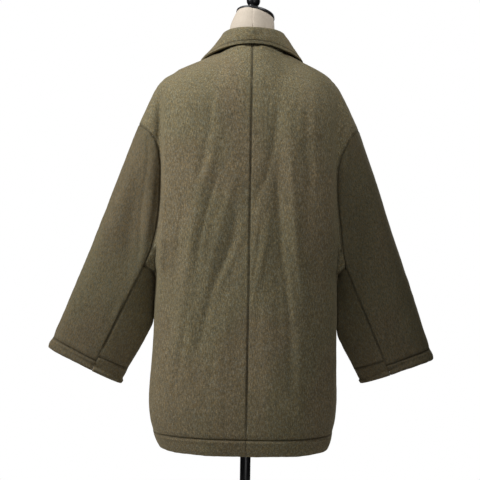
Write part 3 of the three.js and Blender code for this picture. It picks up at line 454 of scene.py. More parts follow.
@dataclass(frozen=True)
class Wool(Finish):
    """Brushed wool twill of mixed fibres.

    lean turns its grain about Y, in degrees. tone is painted shade that darkens a whole piece: the sleeves,
    whose nap lies across the light, and the right sleeve most, where less light falls. Fine flecks are
    tinted warm and cool, and wide patches moss and russet. seam is the colour of the painted shade in
    seams and along stitched lines. twill holds the threads across and along and their slant. Each relief
    is a height in metres and how strongly it shows.
    """

    name: str
    lean: float = 0.0
    # Painted shade: a share of the colour's value for the whole piece
    tone: float = 1.0
    dark: Screen = (81, 74, 55)
    middle: Screen = (118, 108, 84)
    light: Screen = (157, 146, 118)
    # The colour of the painted shade in seams and along stitched lines
    seam: Screen = (44, 39, 28)
    sheen: Screen = (196, 184, 150)
    warm: Linear = (1.1, 1.0, 0.84, 1.0)
    cool: Linear = (0.91, 1.0, 1.14, 1.0)
    tint: Speckle = Speckle(260, 3, 0.6)
    tint_band: Pair = (0.38, 0.62)
    moss: Linear = (0.982, 1.012, 0.99, 1.0)
    russet: Linear = (1.018, 0.99, 0.995, 1.0)
    cast: Speckle = Speckle(7)
    cast_scale: Triple = (1, 1, 0.6)
    cast_shift: Triple = (0.3, 0.0, 0.1)
    cast_band: Pair = (0.42, 0.58)
    fibre_stretch: float = 0.25
    middle_tone: float = 0.5
    twill: Triple = (4400.0, 2400.0, 1.0)
    patch_band: Pair = (0.3, 0.7)
    patch_tone: Pair = (0.94, 1.06)
    gap_share: float = 0.35
    painted_shade_share: float = 0.75
    fuzz_band: Pair = (0.3, 0.7)
    roughness: Pair = (0.86, 0.98)
    twill_relief: Pair = (0.12 * MM, 0.5)
    nap_relief: Pair = (0.35 * MM, 0.6)

    def build(self) -> bpy.types.Material:
        """Makes the material.

        Returns:
            The wool.
        """
        material, nodes, shader, place = self.start()
        grain = nodes.scaled(place, (1, 1, 1), (0, math.radians(self.lean), 0))
        fibres = self.placed(nodes, Effects.flecks(), grain, Size=1.0, Stretch=self.fibre_stretch)
        across, along, slant = self.twill
        twill = self.placed(nodes, Effects.weave(), grain, Across=across, Along=along, Slant=slant)
        low, high = self.patch_band
        patch = self.placed(nodes, Effects.dust(), grain, Low=low, High=high)
        # Painted shade: the seam attribute pulls seams and stitched lines towards the seam colour
        sunk = nodes.add("ShaderNodeAttribute", attribute_name=SEAM_PAINTED_SHADE).outputs["Fac"]
        worn_and_painted_shade = nodes.add("ShaderNodeHueSaturation")
        nodes.feed(worn_and_painted_shade.inputs["Color"], self.fleece(nodes, fibres.outputs["Tone"], grain, place))
        # The dust patches vary the value, and tone scales it all as painted shade
        nodes.feed(worn_and_painted_shade.inputs["Value"], nodes.band(
            patch.outputs["Amount"], 0, 1, *(tone * self.tone for tone in self.patch_tone)))
        woven = nodes.mix(nodes.math("MULTIPLY", twill.outputs["Gap"], self.gap_share), worn_and_painted_shade.outputs[0],
                          Srgb.linear(self.dark))
        nodes.feed(shader.inputs["Base Color"], nodes.mix(
            nodes.math("MULTIPLY", sunk, self.painted_shade_share), woven, Srgb.linear(self.seam)))
        nodes.feed(shader.inputs["Roughness"], nodes.band(
            fibres.outputs["Height"], *self.fuzz_band, *self.roughness))
        normal = self.bump(nodes, twill.outputs["Height"], self.twill_relief)
        nodes.feed(shader.inputs["Normal"], self.bump(
            nodes, fibres.outputs["Height"], self.nap_relief, normal))
        shader.inputs["Sheen Weight"].default_value = 0.22
        shader.inputs["Sheen Roughness"].default_value = 0.55
        shader.inputs["Sheen Tint"].default_value = Srgb.linear(self.sheen)
        shader.inputs["Specular IOR Level"].default_value = 0.2
        return material

    def fleece(self, nodes: NodeTree, tone: object, grain: object, place: object) -> bpy.types.NodeSocket:
        """The colour of the mixed fibres, fine flecks and wide patches.

        Args:
            nodes: The material's helper.
            tone: The fibres' tone from 0 to 1.
            grain: The coordinates along the grain.
            place: The Object coordinates.

        Returns:
            The colour.
        """
        shade = nodes.mix(nodes.band(tone, 0, self.middle_tone), Srgb.linear(self.dark),
                          Srgb.linear(self.middle))
        colour = nodes.mix(nodes.band(tone, self.middle_tone, 1), shade, Srgb.linear(self.light))
        tint = nodes.mix(nodes.band(nodes.noise(grain, self.tint), *self.tint_band), self.cool, self.warm)
        wide = nodes.noise(nodes.scaled(place, self.cast_scale, shift=self.cast_shift), self.cast)
        cast = nodes.mix(nodes.band(wide, *self.cast_band), self.moss, self.russet)
        return nodes.mix(1.0, nodes.mix(1.0, colour, tint, "MULTIPLY"), cast, "MULTIPLY")


@dataclass(frozen=True)
class Linen(Finish):
    """Cream linen stretched over the form. Threads are counted as in the wool's twill."""

    name: str
    cream: Screen = (216, 204, 188)
    shade: Screen = (188, 174, 156)
    threads: float = 6400.0
    fibre_size: float = 0.6
    fibre_stretch: float = 0.5
    patch_band: Pair = (0.4, 0.75)
    fibre_share: float = 0.35
    patch_share: float = 0.18
    gap_share: float = 0.45
    roughness: Pair = (0.9, 0.78)
    relief: Pair = (0.14 * MM, 0.6)

    def build(self) -> bpy.types.Material:
        """Makes the material.

        Returns:
            The linen.
        """
        material, nodes, shader, place = self.start()
        weave = self.placed(nodes, Effects.weave(), place, Across=self.threads, Along=self.threads,
                            Slant=0.0)
        fibres = self.placed(nodes, Effects.flecks(), place, Size=self.fibre_size,
                             Stretch=self.fibre_stretch)
        low, high = self.patch_band
        patch = self.placed(nodes, Effects.dust(), place, Low=low, High=high)
        colour = Srgb.linear(self.cream)
        for value, share in ((fibres.outputs["Tone"], self.fibre_share),
                             (patch.outputs["Amount"], self.patch_share),
                             (weave.outputs["Gap"], self.gap_share)):
            colour = nodes.mix(nodes.math("MULTIPLY", value, share), colour, Srgb.linear(self.shade))
        nodes.feed(shader.inputs["Base Color"], colour)
        nodes.feed(shader.inputs["Roughness"], nodes.band(weave.outputs["Height"], 0, 1, *self.roughness))
        nodes.feed(shader.inputs["Normal"], self.bump(nodes, weave.outputs["Height"], self.relief))
        shader.inputs["Sheen Weight"].default_value = 0.1
        shader.inputs["Specular IOR Level"].default_value = 0.3
        return material


@dataclass(frozen=True)
class BlackPaint(Finish):
    """Smooth black lacquer with faint brushing and a little dust, which dulls it."""

    name: str
    gloss: float = 0.28
    black: Screen = (13, 13, 17)
    dusty: Screen = (38, 37, 36)
    dust_band: Pair = (0.42, 0.78)
    dust_share: float = 0.25
    dust_rough: float = 0.16
    brushing: Speckle = Speckle(1500, 3, 0.6)
    brush_scale: Triple = (1, 1, 0.06)
    brush_rough: float = 0.08
    relief: Pair = (0.05 * MM, 0.25)

    def build(self) -> bpy.types.Material:
        """Makes the material.

        Returns:
            The paint.
        """
        material, nodes, shader, place = self.start()
        low, high = self.dust_band
        dust = self.placed(nodes, Effects.dust(), place, Low=low, High=high).outputs["Amount"]
        brushed = nodes.noise(nodes.scaled(place, self.brush_scale), self.brushing)
        nodes.feed(shader.inputs["Base Color"], nodes.mix(
            nodes.math("MULTIPLY", dust, self.dust_share), Srgb.linear(self.black), Srgb.linear(self.dusty)))
        uneven = nodes.total((dust, self.dust_rough), (brushed, self.brush_rough))
        nodes.feed(shader.inputs["Roughness"], nodes.math("ADD", uneven, self.gloss))
        nodes.feed(shader.inputs["Normal"], self.bump(nodes, brushed, self.relief))
        shader.inputs["Coat Weight"].default_value = 0.3
        shader.inputs["Coat Roughness"].default_value = 0.15
        return material


@dataclass(frozen=True)
class Horn(Finish):
    """Dark brown horn with lighter drifts, which lean over as the horn's layers do."""

    name: str
    dark: Screen = (38, 28, 20)
    light: Screen = (108, 82, 54)
    lean: Triple = (0, 0.5, 0)
    drift: Speckle = Speckle(90, 5, 0.62)
    drift_scale: Triple = (1, 1, 3.2)
    drift_share: float = 0.8
    fine: Speckle = Speckle(420, 3, 0.6)
    fine_scale: Triple = (1, 1, 6)
    fine_share: float = 0.2
    colour_band: Pair = (0.42, 0.68)
    fine_band: Pair = (0.3, 0.7)
    roughness: Pair = (0.26, 0.4)
    relief: Pair = (0.04 * MM, 0.3)

    def build(self) -> bpy.types.Material:
        """Makes the material.

        Returns:
            The horn.
        """
        material, nodes, shader, place = self.start()
        drift = nodes.noise(nodes.scaled(place, self.drift_scale, self.lean), self.drift)
        fine = nodes.noise(nodes.scaled(place, self.fine_scale, self.lean), self.fine)
        both = nodes.total((drift, self.drift_share), (fine, self.fine_share))
        nodes.feed(shader.inputs["Base Color"], nodes.mix(
            nodes.band(both, *self.colour_band), Srgb.linear(self.dark), Srgb.linear(self.light)))
        nodes.feed(shader.inputs["Roughness"], nodes.band(fine, *self.fine_band, *self.roughness))
        nodes.feed(shader.inputs["Normal"], self.bump(nodes, fine, self.relief))
        shader.inputs["Coat Weight"].default_value = 0.25
        shader.inputs["Coat Roughness"].default_value = 0.2
        return material


@dataclass(frozen=True)
class Thread(Finish):
    """Twisted sewing thread."""

    name: str
    dark: Screen = (62, 53, 38)
    light: Screen = (112, 99, 74)
    ply: Speckle = Speckle(3200)
    colour_band: Pair = (0.35, 0.65)
    rough_band: Pair = (0.3, 0.7)
    roughness: Pair = (0.55, 0.75)
    relief: Pair = (0.08 * MM, 0.6)

    def build(self) -> bpy.types.Material:
        """Makes the material.

        Returns:
            The thread.
        """
        material, nodes, shader, place = self.start()
        ply = nodes.noise(place, self.ply)
        nodes.feed(shader.inputs["Base Color"], nodes.mix(
            nodes.band(ply, *self.colour_band), Srgb.linear(self.dark), Srgb.linear(self.light)))
        nodes.feed(shader.inputs["Roughness"], nodes.band(ply, *self.rough_band, *self.roughness))
        nodes.feed(shader.inputs["Normal"], self.bump(nodes, ply, self.relief))
        return material


@dataclass(frozen=True)
class FloorPaper(Finish):
    """Pale seamless paper that fades out before its edge, at radii in metres."""

    name: str
    fade: Pair
    grey: Screen = (244, 244, 243)
    white: Screen = (250, 250, 249)
    tooth: Speckle = Speckle(900, 3, 0.6)
    tooth_band: Pair = (0.3, 0.7)
    roughness: Pair = (0.85, 0.95)

    def build(self) -> bpy.types.Material:
        """Makes the material.

        Returns:
            The paper.
        """
        material, nodes, shader, place = self.start()
        tooth = nodes.noise(place, self.tooth)
        nodes.feed(shader.inputs["Base Color"], nodes.mix(
            nodes.band(tooth, *self.tooth_band), Srgb.linear(self.grey), Srgb.linear(self.white)))
        nodes.feed(shader.inputs["Roughness"], nodes.band(tooth, 0, 1, *self.roughness))
        far = nodes.add("ShaderNodeVectorMath", operation="LENGTH")
        nodes.feed(far.inputs[0], place)
        nodes.feed(shader.inputs["Alpha"], nodes.band(far.outputs["Value"], *self.fade, 1, 0))
        return material


# Mesh helpers


class SoftNoise:
    """Smooth seeded noise between about -1 and 1, worked out for many points at once."""

    CELLS = 32
    TURN = 0.6
    TURN_AXIS = (0.4, 1, 0.2)
    FINER = 0.55
    FINER_SHARE = 0.45
    SHIFT = 5
    FINER_SHIFT = 9

    def __init__(self, seed: int) -> None:
        """Fills the lattice from a seed."""
        self.table = np.random.default_rng(seed).uniform(-1, 1, (self.CELLS,) * 3)

    def one(self, points: np.ndarray, wavelength: Sequence[float]) -> np.ndarray:
        """One octave.

        Args:
            points: Rows of x, y, z in metres.
            wavelength: The lattice's cell along x, y and z in metres.

        Returns:
            A value for each point.
        """
        cell = points / np.asarray(wavelength)
        low = np.floor(cell).astype(int)
        part = cell - low
        # A quintic from 0 to 1 whose first and second derivatives are 0 at both ends
        part = part ** 3 * (part * (part * 6 - 15) + 10)
        total = np.zeros(len(points))
        for corner in itertools.product((0, 1), repeat=3):
            weight = np.prod(np.where(corner, part, 1 - part), axis=1)
            index = (low + corner) % self.CELLS
            total += weight * self.table[index[:, 0], index[:, 1], index[:, 2]]
        return total

    def at(self, points: np.ndarray, wavelength: Sequence[float]) -> np.ndarray:
        """Two octaves, the second turned so that the lattice doesn't show.

        Args:
            points: Rows of x, y, z in metres.
            wavelength: The main octave's cell in metres.

        Returns:
            A value for each point.
        """
        turn = np.array(Matrix.Rotation(self.TURN, 3, Vector(self.TURN_AXIS).normalized()))
        finer = self.one((points + self.FINER_SHIFT) @ turn, np.asarray(wavelength) * self.FINER)
        return self.one(points + self.SHIFT, wavelength) + self.FINER_SHARE * finer


def eased(share: np.ndarray) -> np.ndarray:
    """A share from 0 to 1 that starts and ends gently."""
    return share * share * (3 - 2 * share)


def finished(name: str, mesh: bmesh.types.BMesh, material: bpy.types.Material,
             replaced: Sequence[str] = ()) -> bpy.types.Object:
    """Turns a bmesh into a smooth-shaded piece that rides on the frame.

    Args:
        name: The piece's name.
        mesh: Its shape, which is freed.
        material: Its finish.
        replaced: CAD nodes that it stands for.

    Returns:
        The new object.
    """
    data = bpy.data.meshes.new(name)
    mesh.to_mesh(data)
    mesh.free()
    for polygon in data.polygons:
        polygon.material_index = 0
    data.materials.append(material)
    data.shade_smooth()
    piece = bpy.data.objects.new(name, data)
    bpy.context.scene.collection.objects.link(piece)
    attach(piece, BODY)
    if replaced:
        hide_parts(*replaced)
    LOG.info("%s: %d faces", name, len(data.polygons))
    return piece


def merged_copy(node: bpy.types.Object) -> bmesh.types.BMesh:
    """Copies a CAD node's mesh, merges its doubles and joins its triangles to quads.

    Args:
        node: The CAD node.

    Returns:
        The copy.
    """
    mesh = bmesh.new()
    mesh.from_mesh(node.data)
    bmesh.ops.remove_doubles(mesh, verts=mesh.verts[:], dist=WELD)
    bmesh.ops.join_triangles(mesh, faces=mesh.faces[:], angle_face_threshold=QUAD_FACE_TURN,
                             angle_shape_threshold=QUAD_SHAPE_TURN, topology_influence=1.0)
    mesh.normal_update()
    return mesh


def modified(mesh: bmesh.types.BMesh, kind: str, **settings: object) -> bmesh.types.BMesh:
    """Runs one modifier on a mesh.

    Args:
        mesh: The mesh, which is freed.
        kind: The modifier's type.
        settings: Its properties by name.

    Returns:
        The result.
    """
    data = bpy.data.meshes.new("worked")
    mesh.to_mesh(data)
    mesh.free()
    worked = bpy.data.objects.new("worked", data)
    bpy.context.scene.collection.objects.link(worked)
    modifier = worked.modifiers.new("step", kind)
    for name, value in settings.items():
        setattr(modifier, name, value)
    evaluated = worked.evaluated_get(bpy.context.evaluated_depsgraph_get())
    result = bmesh.new()
    result.from_mesh(evaluated.to_mesh())
    evaluated.to_mesh_clear()
    bpy.data.objects.remove(worked)
    bpy.data.meshes.remove(data)
    return result


def creased(mesh: bmesh.types.BMesh) -> bmesh.types.BMLayerItem:
    """The mesh's layer of subdivision creases, made if there is none."""
    return mesh.edges.layers.float.get("crease_edge") or mesh.edges.layers.float.new("crease_edge")


def soften(mesh: bmesh.types.BMesh, width: float, sharp: float, segments: int = 3) -> None:
    """Bevels the edges that turn by more than an angle.

    Args:
        mesh: The mesh, which is changed.
        width: The bevel's width in metres.
        sharp: The least turn in degrees.
        segments: The bevel's rows of faces.
    """
    edges = [edge for edge in mesh.edges if edge.calc_face_angle(0) > math.radians(sharp)]
    bmesh.ops.bevel(mesh, geom=edges, offset=width, offset_type="OFFSET", affect="EDGES", segments=segments,
                    profile=0.5, material=-1, clamp_overlap=True)


def lathed(profile: Sequence[Pair], segments: int) -> bmesh.types.BMesh:
    """Spins a profile round Z and closes it on the axis.

    Args:
        profile: Radius and height of each point in millimetres, from one end on the axis to the other.
        segments: Steps round the axis.

    Returns:
        The closed mesh.
    """
    mesh = bmesh.new()
    line = [mesh.verts.new((radius * MM, 0, height * MM)) for radius, height in profile]
    edges = [mesh.edges.new(pair) for pair in itertools.pairwise(line)]
    bmesh.ops.spin(mesh, geom=line + edges, cent=(0, 0, 0), axis=(0, 0, 1), angle=math.tau, steps=segments,
                   use_merge=True)
    bmesh.ops.remove_doubles(mesh, verts=mesh.verts[:], dist=LATHE_WELD)
    bmesh.ops.recalc_face_normals(mesh, faces=mesh.faces[:])
    return mesh


# The coat's cloth


class Edge(Enum):
    """What a rim of a panel is: a plain seam, or an edge with a line stitched along it."""

    SEAM = 0
    HEM = 1
    CUFF = 2
    LEAF = 3
    FRONT = 4


EdgeSorter = Callable[[Vector, Vector], Edge]


@dataclass(frozen=True)
class StitchedLine:
    """A line sewn at a distance from a panel's edge.

    It sinks by depth over a width, and puckers the cloth within reach. A turned band swells by swell beside
    the line, at lip from it, and above shares in that. Seams stay flat for pressed times the inset. shade is
    how strongly painted shade darkens the line's colour.
    """

    inset: float
    depth: float
    width: float
    pucker: float
    reach: float
    swell: float = 0.0
    # The strength of the painted shade along the line
    shade: float = 0.8
    lip: float = 5 * MM
    lip_width: float = 3.6 * MM
    above: float = 0.4
    pressed: float = 3.0
    pressed_least: float = 0.25

    def band(self, off: np.ndarray) -> np.ndarray:
        """The swell on both sides of the line, as a share of its full height, by the distance past it."""
        edge = np.exp(-((off + self.lip) / self.lip_width) ** 2)
        return edge + self.above * np.exp(-((off - 2 * self.lip) / (2 * self.lip_width)) ** 2)


TOPSTITCH = StitchedLine(inset=6.5 * MM, depth=0.9 * MM, width=1.3 * MM, pucker=0.2 * MM, reach=5 * MM,
                         shade=0.5)
LINES = {
    Edge.HEM: StitchedLine(inset=38 * MM, depth=2.8 * MM, width=1.8 * MM, pucker=0.6 * MM, reach=9 * MM,
                           swell=2.4 * MM),
    Edge.CUFF: StitchedLine(inset=24 * MM, depth=2.4 * MM, width=1.8 * MM, pucker=0.55 * MM, reach=8 * MM,
                            swell=1.7 * MM),
    Edge.LEAF: TOPSTITCH,
    Edge.FRONT: TOPSTITCH,
}


@dataclass(frozen=True)
class Fold:
    """A soft ridge, or a trough where rise is negative, through places of x and z. All is in millimetres.

    It fades in and out over a share of its length at each end.
    """

    MARGIN: ClassVar[float] = 3.0

    width: float
    rise: float
    route: tuple[Pair, ...]
    fade: float = 0.22

    def height(self, points: np.ndarray, facing: np.ndarray) -> np.ndarray:
        """How far the fold lifts each point.

        Args:
            points: Rows of x, y, z in metres.
            facing: How fully the surface faces the fold's side, from 0 to 1.

        Returns:
            The lift along the normal in metres.
        """
        flat = points[:, [0, 2]] / MM
        route = np.array(self.route, float)
        margin = self.MARGIN * self.width
        inside = np.all((flat > route.min(0) - margin) & (flat < route.max(0) + margin), axis=1)
        inside &= facing > 0
        lift = np.zeros(len(points))
        if not inside.any():
            return lift
        flat = flat[inside]
        nearest = np.full(len(flat), np.inf)
        place = np.zeros(len(flat))
        done = 0.0
        for start, end in itertools.pairwise(route):
            run = end - start
            length = float(np.hypot(*run))
            share = np.clip((flat - start) @ run / length ** 2, 0, 1)
            gap = np.hypot(*(flat - start - share[:, None] * run).T)
            place = np.where(gap < nearest, done + share * length, place)
            nearest = np.minimum(nearest, gap)
            done += length
        ends = eased(np.clip(np.minimum(place, done - place) / (self.fade * done), 0, 1))
        lift[inside] = self.rise * MM * np.exp(-(nearest / self.width) ** 2) * ends * facing[inside]
        return lift


BACK_FOLDS = (
    Fold(6, 2.6, ((183, 1272), (184, 1145), (186, 900), (193, 755)), fade=0.06),
    Fold(5, -2.6, ((197, 1272), (199, 1220), (200, 1140))),
    Fold(10, 2.2, ((70, 1215), (80, 1117), (105, 1043), (119, 958), (133, 852), (147, 727), (158, 663),
                   (168, 600))),
    Fold(6, -1.7, ((132, 770), (141, 690), (152, 625), (158, 580))),
    Fold(7, -1.1, ((68, 710), (79, 640), (90, 590))),
    Fold(10, 1.8, ((23, 1120), (30, 1070), (50, 1012), (71, 927), (94, 832), (111, 747))),
    Fold(8, 1.6, ((4, 1000), (17, 939), (42, 885), (65, 840), (76, 790))),
    Fold(8, -2.4, ((83, 1262), (88, 1170), (103, 1096), (116, 1043))),
    Fold(5, -1.9, ((66, 1090), (88, 1015), (102, 950), (109, 890), (114, 850))),
    Fold(9, -2.2, ((26, 1020), (33, 945), (55, 885), (75, 832), (95, 747), (120, 662)), fade=0.15),
    Fold(9, -2.2, ((134, 1060), (146, 983), (154, 892), (163, 801), (163, 700))),
    Fold(8, -2.0, ((-60, 1257), (-55, 1195), (-46, 1134), (-36, 1080), (-16, 1040), (-8, 985))),
    Fold(2.5, -0.7, ((-27, 1250), (-28, 1150))),
    Fold(2.5, -0.7, ((-38, 1240), (-36, 1160))),
    Fold(11, 2.0, ((-74, 1278), (-80, 1173), (-88, 1067), (-95, 960), (-110, 860), (-128, 751))),
    Fold(6.5, -2.6, ((-50, 1095), (-58, 1040), (-63, 983), (-68, 916), (-77, 861), (-86, 794), (-92, 730))),
    Fold(9, -1.5, ((-84, 810), (-90, 727), (-94, 645), (-96, 585))),
    Fold(10, 1.2, ((-108, 760), (-112, 680), (-112, 590))),
    Fold(7, 1.7, ((-42, 1015), (-38, 945), (-26, 885), (-17, 830))),
    Fold(4.5, -1.8, ((-25, 990), (-18, 915), (-9, 860), (-4, 800))),
    Fold(8, 1.6, ((-131, 1257), (-136, 1152), (-143, 1036))),
    Fold(6, -1.6, ((-114, 1247), (-118, 1121), (-124, 1036))),
    Fold(6.4, -1.7, ((-158, 1237), (-165, 1132), (-169, 1037))),
    Fold(9, 3, ((203, 1178), (205, 1062), (219, 970), (226, 900))),
    Fold(5.5, -2.6, ((222, 1190), (222, 1100), (236, 988), (236, 917), (250, 860))),
    Fold(5, -1.6, ((243, 1180), (262, 1110), (276, 1065), (293, 1010))),
    Fold(8, 2.4, ((-200, 1165), (-199, 1070), (-194, 980))),
    Fold(5, -2.6, ((-222, 1170), (-216, 1076), (-210, 979), (-206, 899))),
    Fold(4, -1.5, ((288, 781), (268, 779), (250, 784)), fade=0.4),
    Fold(5, 1.1, ((282, 768), (256, 772)), fade=0.4),
    Fold(4, -1.2, ((-296, 712), (-274, 706), (-262, 709)), fade=0.4),
)
FRONT_FOLDS = (
    Fold(10, 1.9, ((66, 1205), (78, 1090), (98, 960), (118, 800), (126, 690))),
    Fold(7.2, -1.9, ((92, 1235), (104, 1120), (122, 990), (138, 860))),
    Fold(9, 1.7, ((150, 1190), (158, 1060), (160, 900), (154, 760))),
    Fold(6.4, -1.6, ((48, 985), (66, 880), (84, 760), (96, 640))),
    Fold(8, 1.4, ((44, 820), (56, 720), (60, 610))),
    Fold(10, 1.8, ((-72, 1225), (-84, 1110), (-106, 980), (-122, 850), (-134, 720))),
    Fold(7.2, -1.9, ((-54, 1150), (-66, 1040), (-86, 920), (-104, 790), (-112, 700))),
    Fold(6.4, -1.6, ((-98, 1240), (-114, 1130), (-132, 1010))),
    Fold(9, 1.6, ((-150, 1205), (-160, 1080), (-164, 960))),
    Fold(6.4, -1.4, ((-148, 900), (-156, 780), (-152, 670))),
    Fold(11, 2.1, ((206, 1165), (214, 1050), (234, 940), (254, 870))),
    Fold(7.2, -1.6, ((232, 1190), (242, 1060), (268, 950))),
    Fold(10, 1.8, ((-192, 1170), (-204, 1060), (-226, 950))),
    Fold(6.4, -1.5, ((-216, 1180), (-230, 1060), (-256, 940))),
    Fold(4, -1.3, ((290, 770), (270, 768), (252, 773)), fade=0.4),
    Fold(4, -1.1, ((-292, 722), (-272, 718), (-256, 722)), fade=0.4),
)
COLLAR_FOLDS = (
    Fold(13, 4, ((-66, 1404), (-79, 1392), (-92, 1366)), fade=0.4),
    Fold(10, -1.5, ((-96, 1352), (-108, 1334))),
)


@dataclass(frozen=True)
class Press:
    """How the body's side and the sleeve swell against each other.

    behind and before are a piece's shares of the space between them, on either side of a line of y. The
    swell is full where the other piece is near, ends where it is far, and never goes beyond most.
    """

    behind: float = 0.5
    before: float = 0.5
    line: float = 13 * MM
    near: float = 7 * MM
    far: float = 13 * MM
    gap: float = 0.3 * MM
    most: float = 0.0

    def room(self, points: np.ndarray, distance: np.ndarray) -> np.ndarray:
        """How far each point may move out before it comes near what lies beside it.

        Args:
            points: Rows of x, y, z in metres.
            distance: How far off the nearest other piece is.

        Returns:
            The room in metres.
        """
        share = np.where(points[:, 1] > self.line, self.behind, self.before)
        return np.maximum(0, distance - self.gap) * share

    def swollen(self, lift: np.ndarray, room: np.ndarray, distance: np.ndarray,
                seam: np.ndarray) -> np.ndarray:
        """Lets the padding swell into that room where another piece is close.

        Args:
            lift: The lift of each point before that, in metres.
            room: The room in metres.
            distance: How far off the nearest other piece is.
            seam: How far off the panel's own seams are.

        Returns:
            The lift of each point in metres.
        """
        close = np.clip((self.far - distance) / (self.far - self.near), 0, 1)
        free = np.clip((seam - self.far) / self.near, 0, 1)
        return lift + (np.maximum(lift, np.minimum(room, self.most)) - lift) * close * free


@dataclass(frozen=True)
class Relief:
    """How uneven a padded panel is, as heights in metres, and the cells of each kind of unevenness.

    calm is what is left of it at a seam, where the padding is pulled down. faced turns how squarely the
    cloth faces front or back into the strength of its folds, and broad does so for its stitched lines.
    """

    swell: float = 0.7 * MM
    swell_cell: Triple = (45 * MM, 45 * MM, 130 * MM)
    ripple: float = 0.4 * MM
    ripple_cell: Triple = (13 * MM, 13 * MM, 75 * MM)
    lump: float = 0.2 * MM
    lump_cell: Triple = (9 * MM, 9 * MM, 12 * MM)
    seam_depth: float = 1.6 * MM
    seam_reach: float = 2.4 * MM
    seam_pucker: float = 0.55 * MM
    pucker_reach: float = 9 * MM
    pucker_cell: Triple = (8 * MM, 8 * MM, 8 * MM)
    stitch_cell: Triple = (7 * MM, 7 * MM, 7 * MM)
    loft: float = 1.0 * MM
    loft_reach: float = 16 * MM
    loft_from: float = 0.5
    lowest: float = -3.6 * MM
    calm: float = 0.25
    faced: float = 2.5
    broad: float = 1.8
    broad_from: float = 0.25
    broad_least: float = 0.05


@dataclass(frozen=True)
class RimEdge:
    """One edge of a panel's border, with the way into the panel along its outer sheet."""

    first: Vector
    second: Vector
    kind: Edge
    inward: Vector
    out: Vector


class Seams:
    """The sampled rims of one panel, by kind, for distances to them."""

    STEP = 1.5 * MM

    def __init__(self, edges: Iterable[RimEdge]) -> None:
        """Samples each rim edge and builds a search tree for each kind of rim.

        Args:
            edges: The panel's rim.
        """
        points: dict[Edge, list[Vector]] = {}
        for edge in edges:
            count = max(2, int((edge.second - edge.first).length / self.STEP) + 1)
            points.setdefault(edge.kind, []).extend(
                edge.first.lerp(edge.second, step / (count - 1)) for step in range(count))
        self.trees: dict[Edge, KDTree] = {}
        for kind, places in points.items():
            tree = KDTree(len(places))
            for index, place in enumerate(places):
                tree.insert(place, index)
            tree.balance()
            self.trees[kind] = tree

    def near(self, points: np.ndarray, kind: Edge) -> tuple[np.ndarray, np.ndarray]:
        """The distance from each point to the nearest rim of a kind, and where on the rim that is.

        Args:
            points: Rows of x, y, z in metres.
            kind: The kind of rim.

        Returns:
            The distances, and rows of the nearest rim points.
        """
        tree = self.trees[kind]
        found = [tree.find(point) for point in points]
        return np.array([gap for _, _, gap in found]), np.array([place for place, _, _ in found])


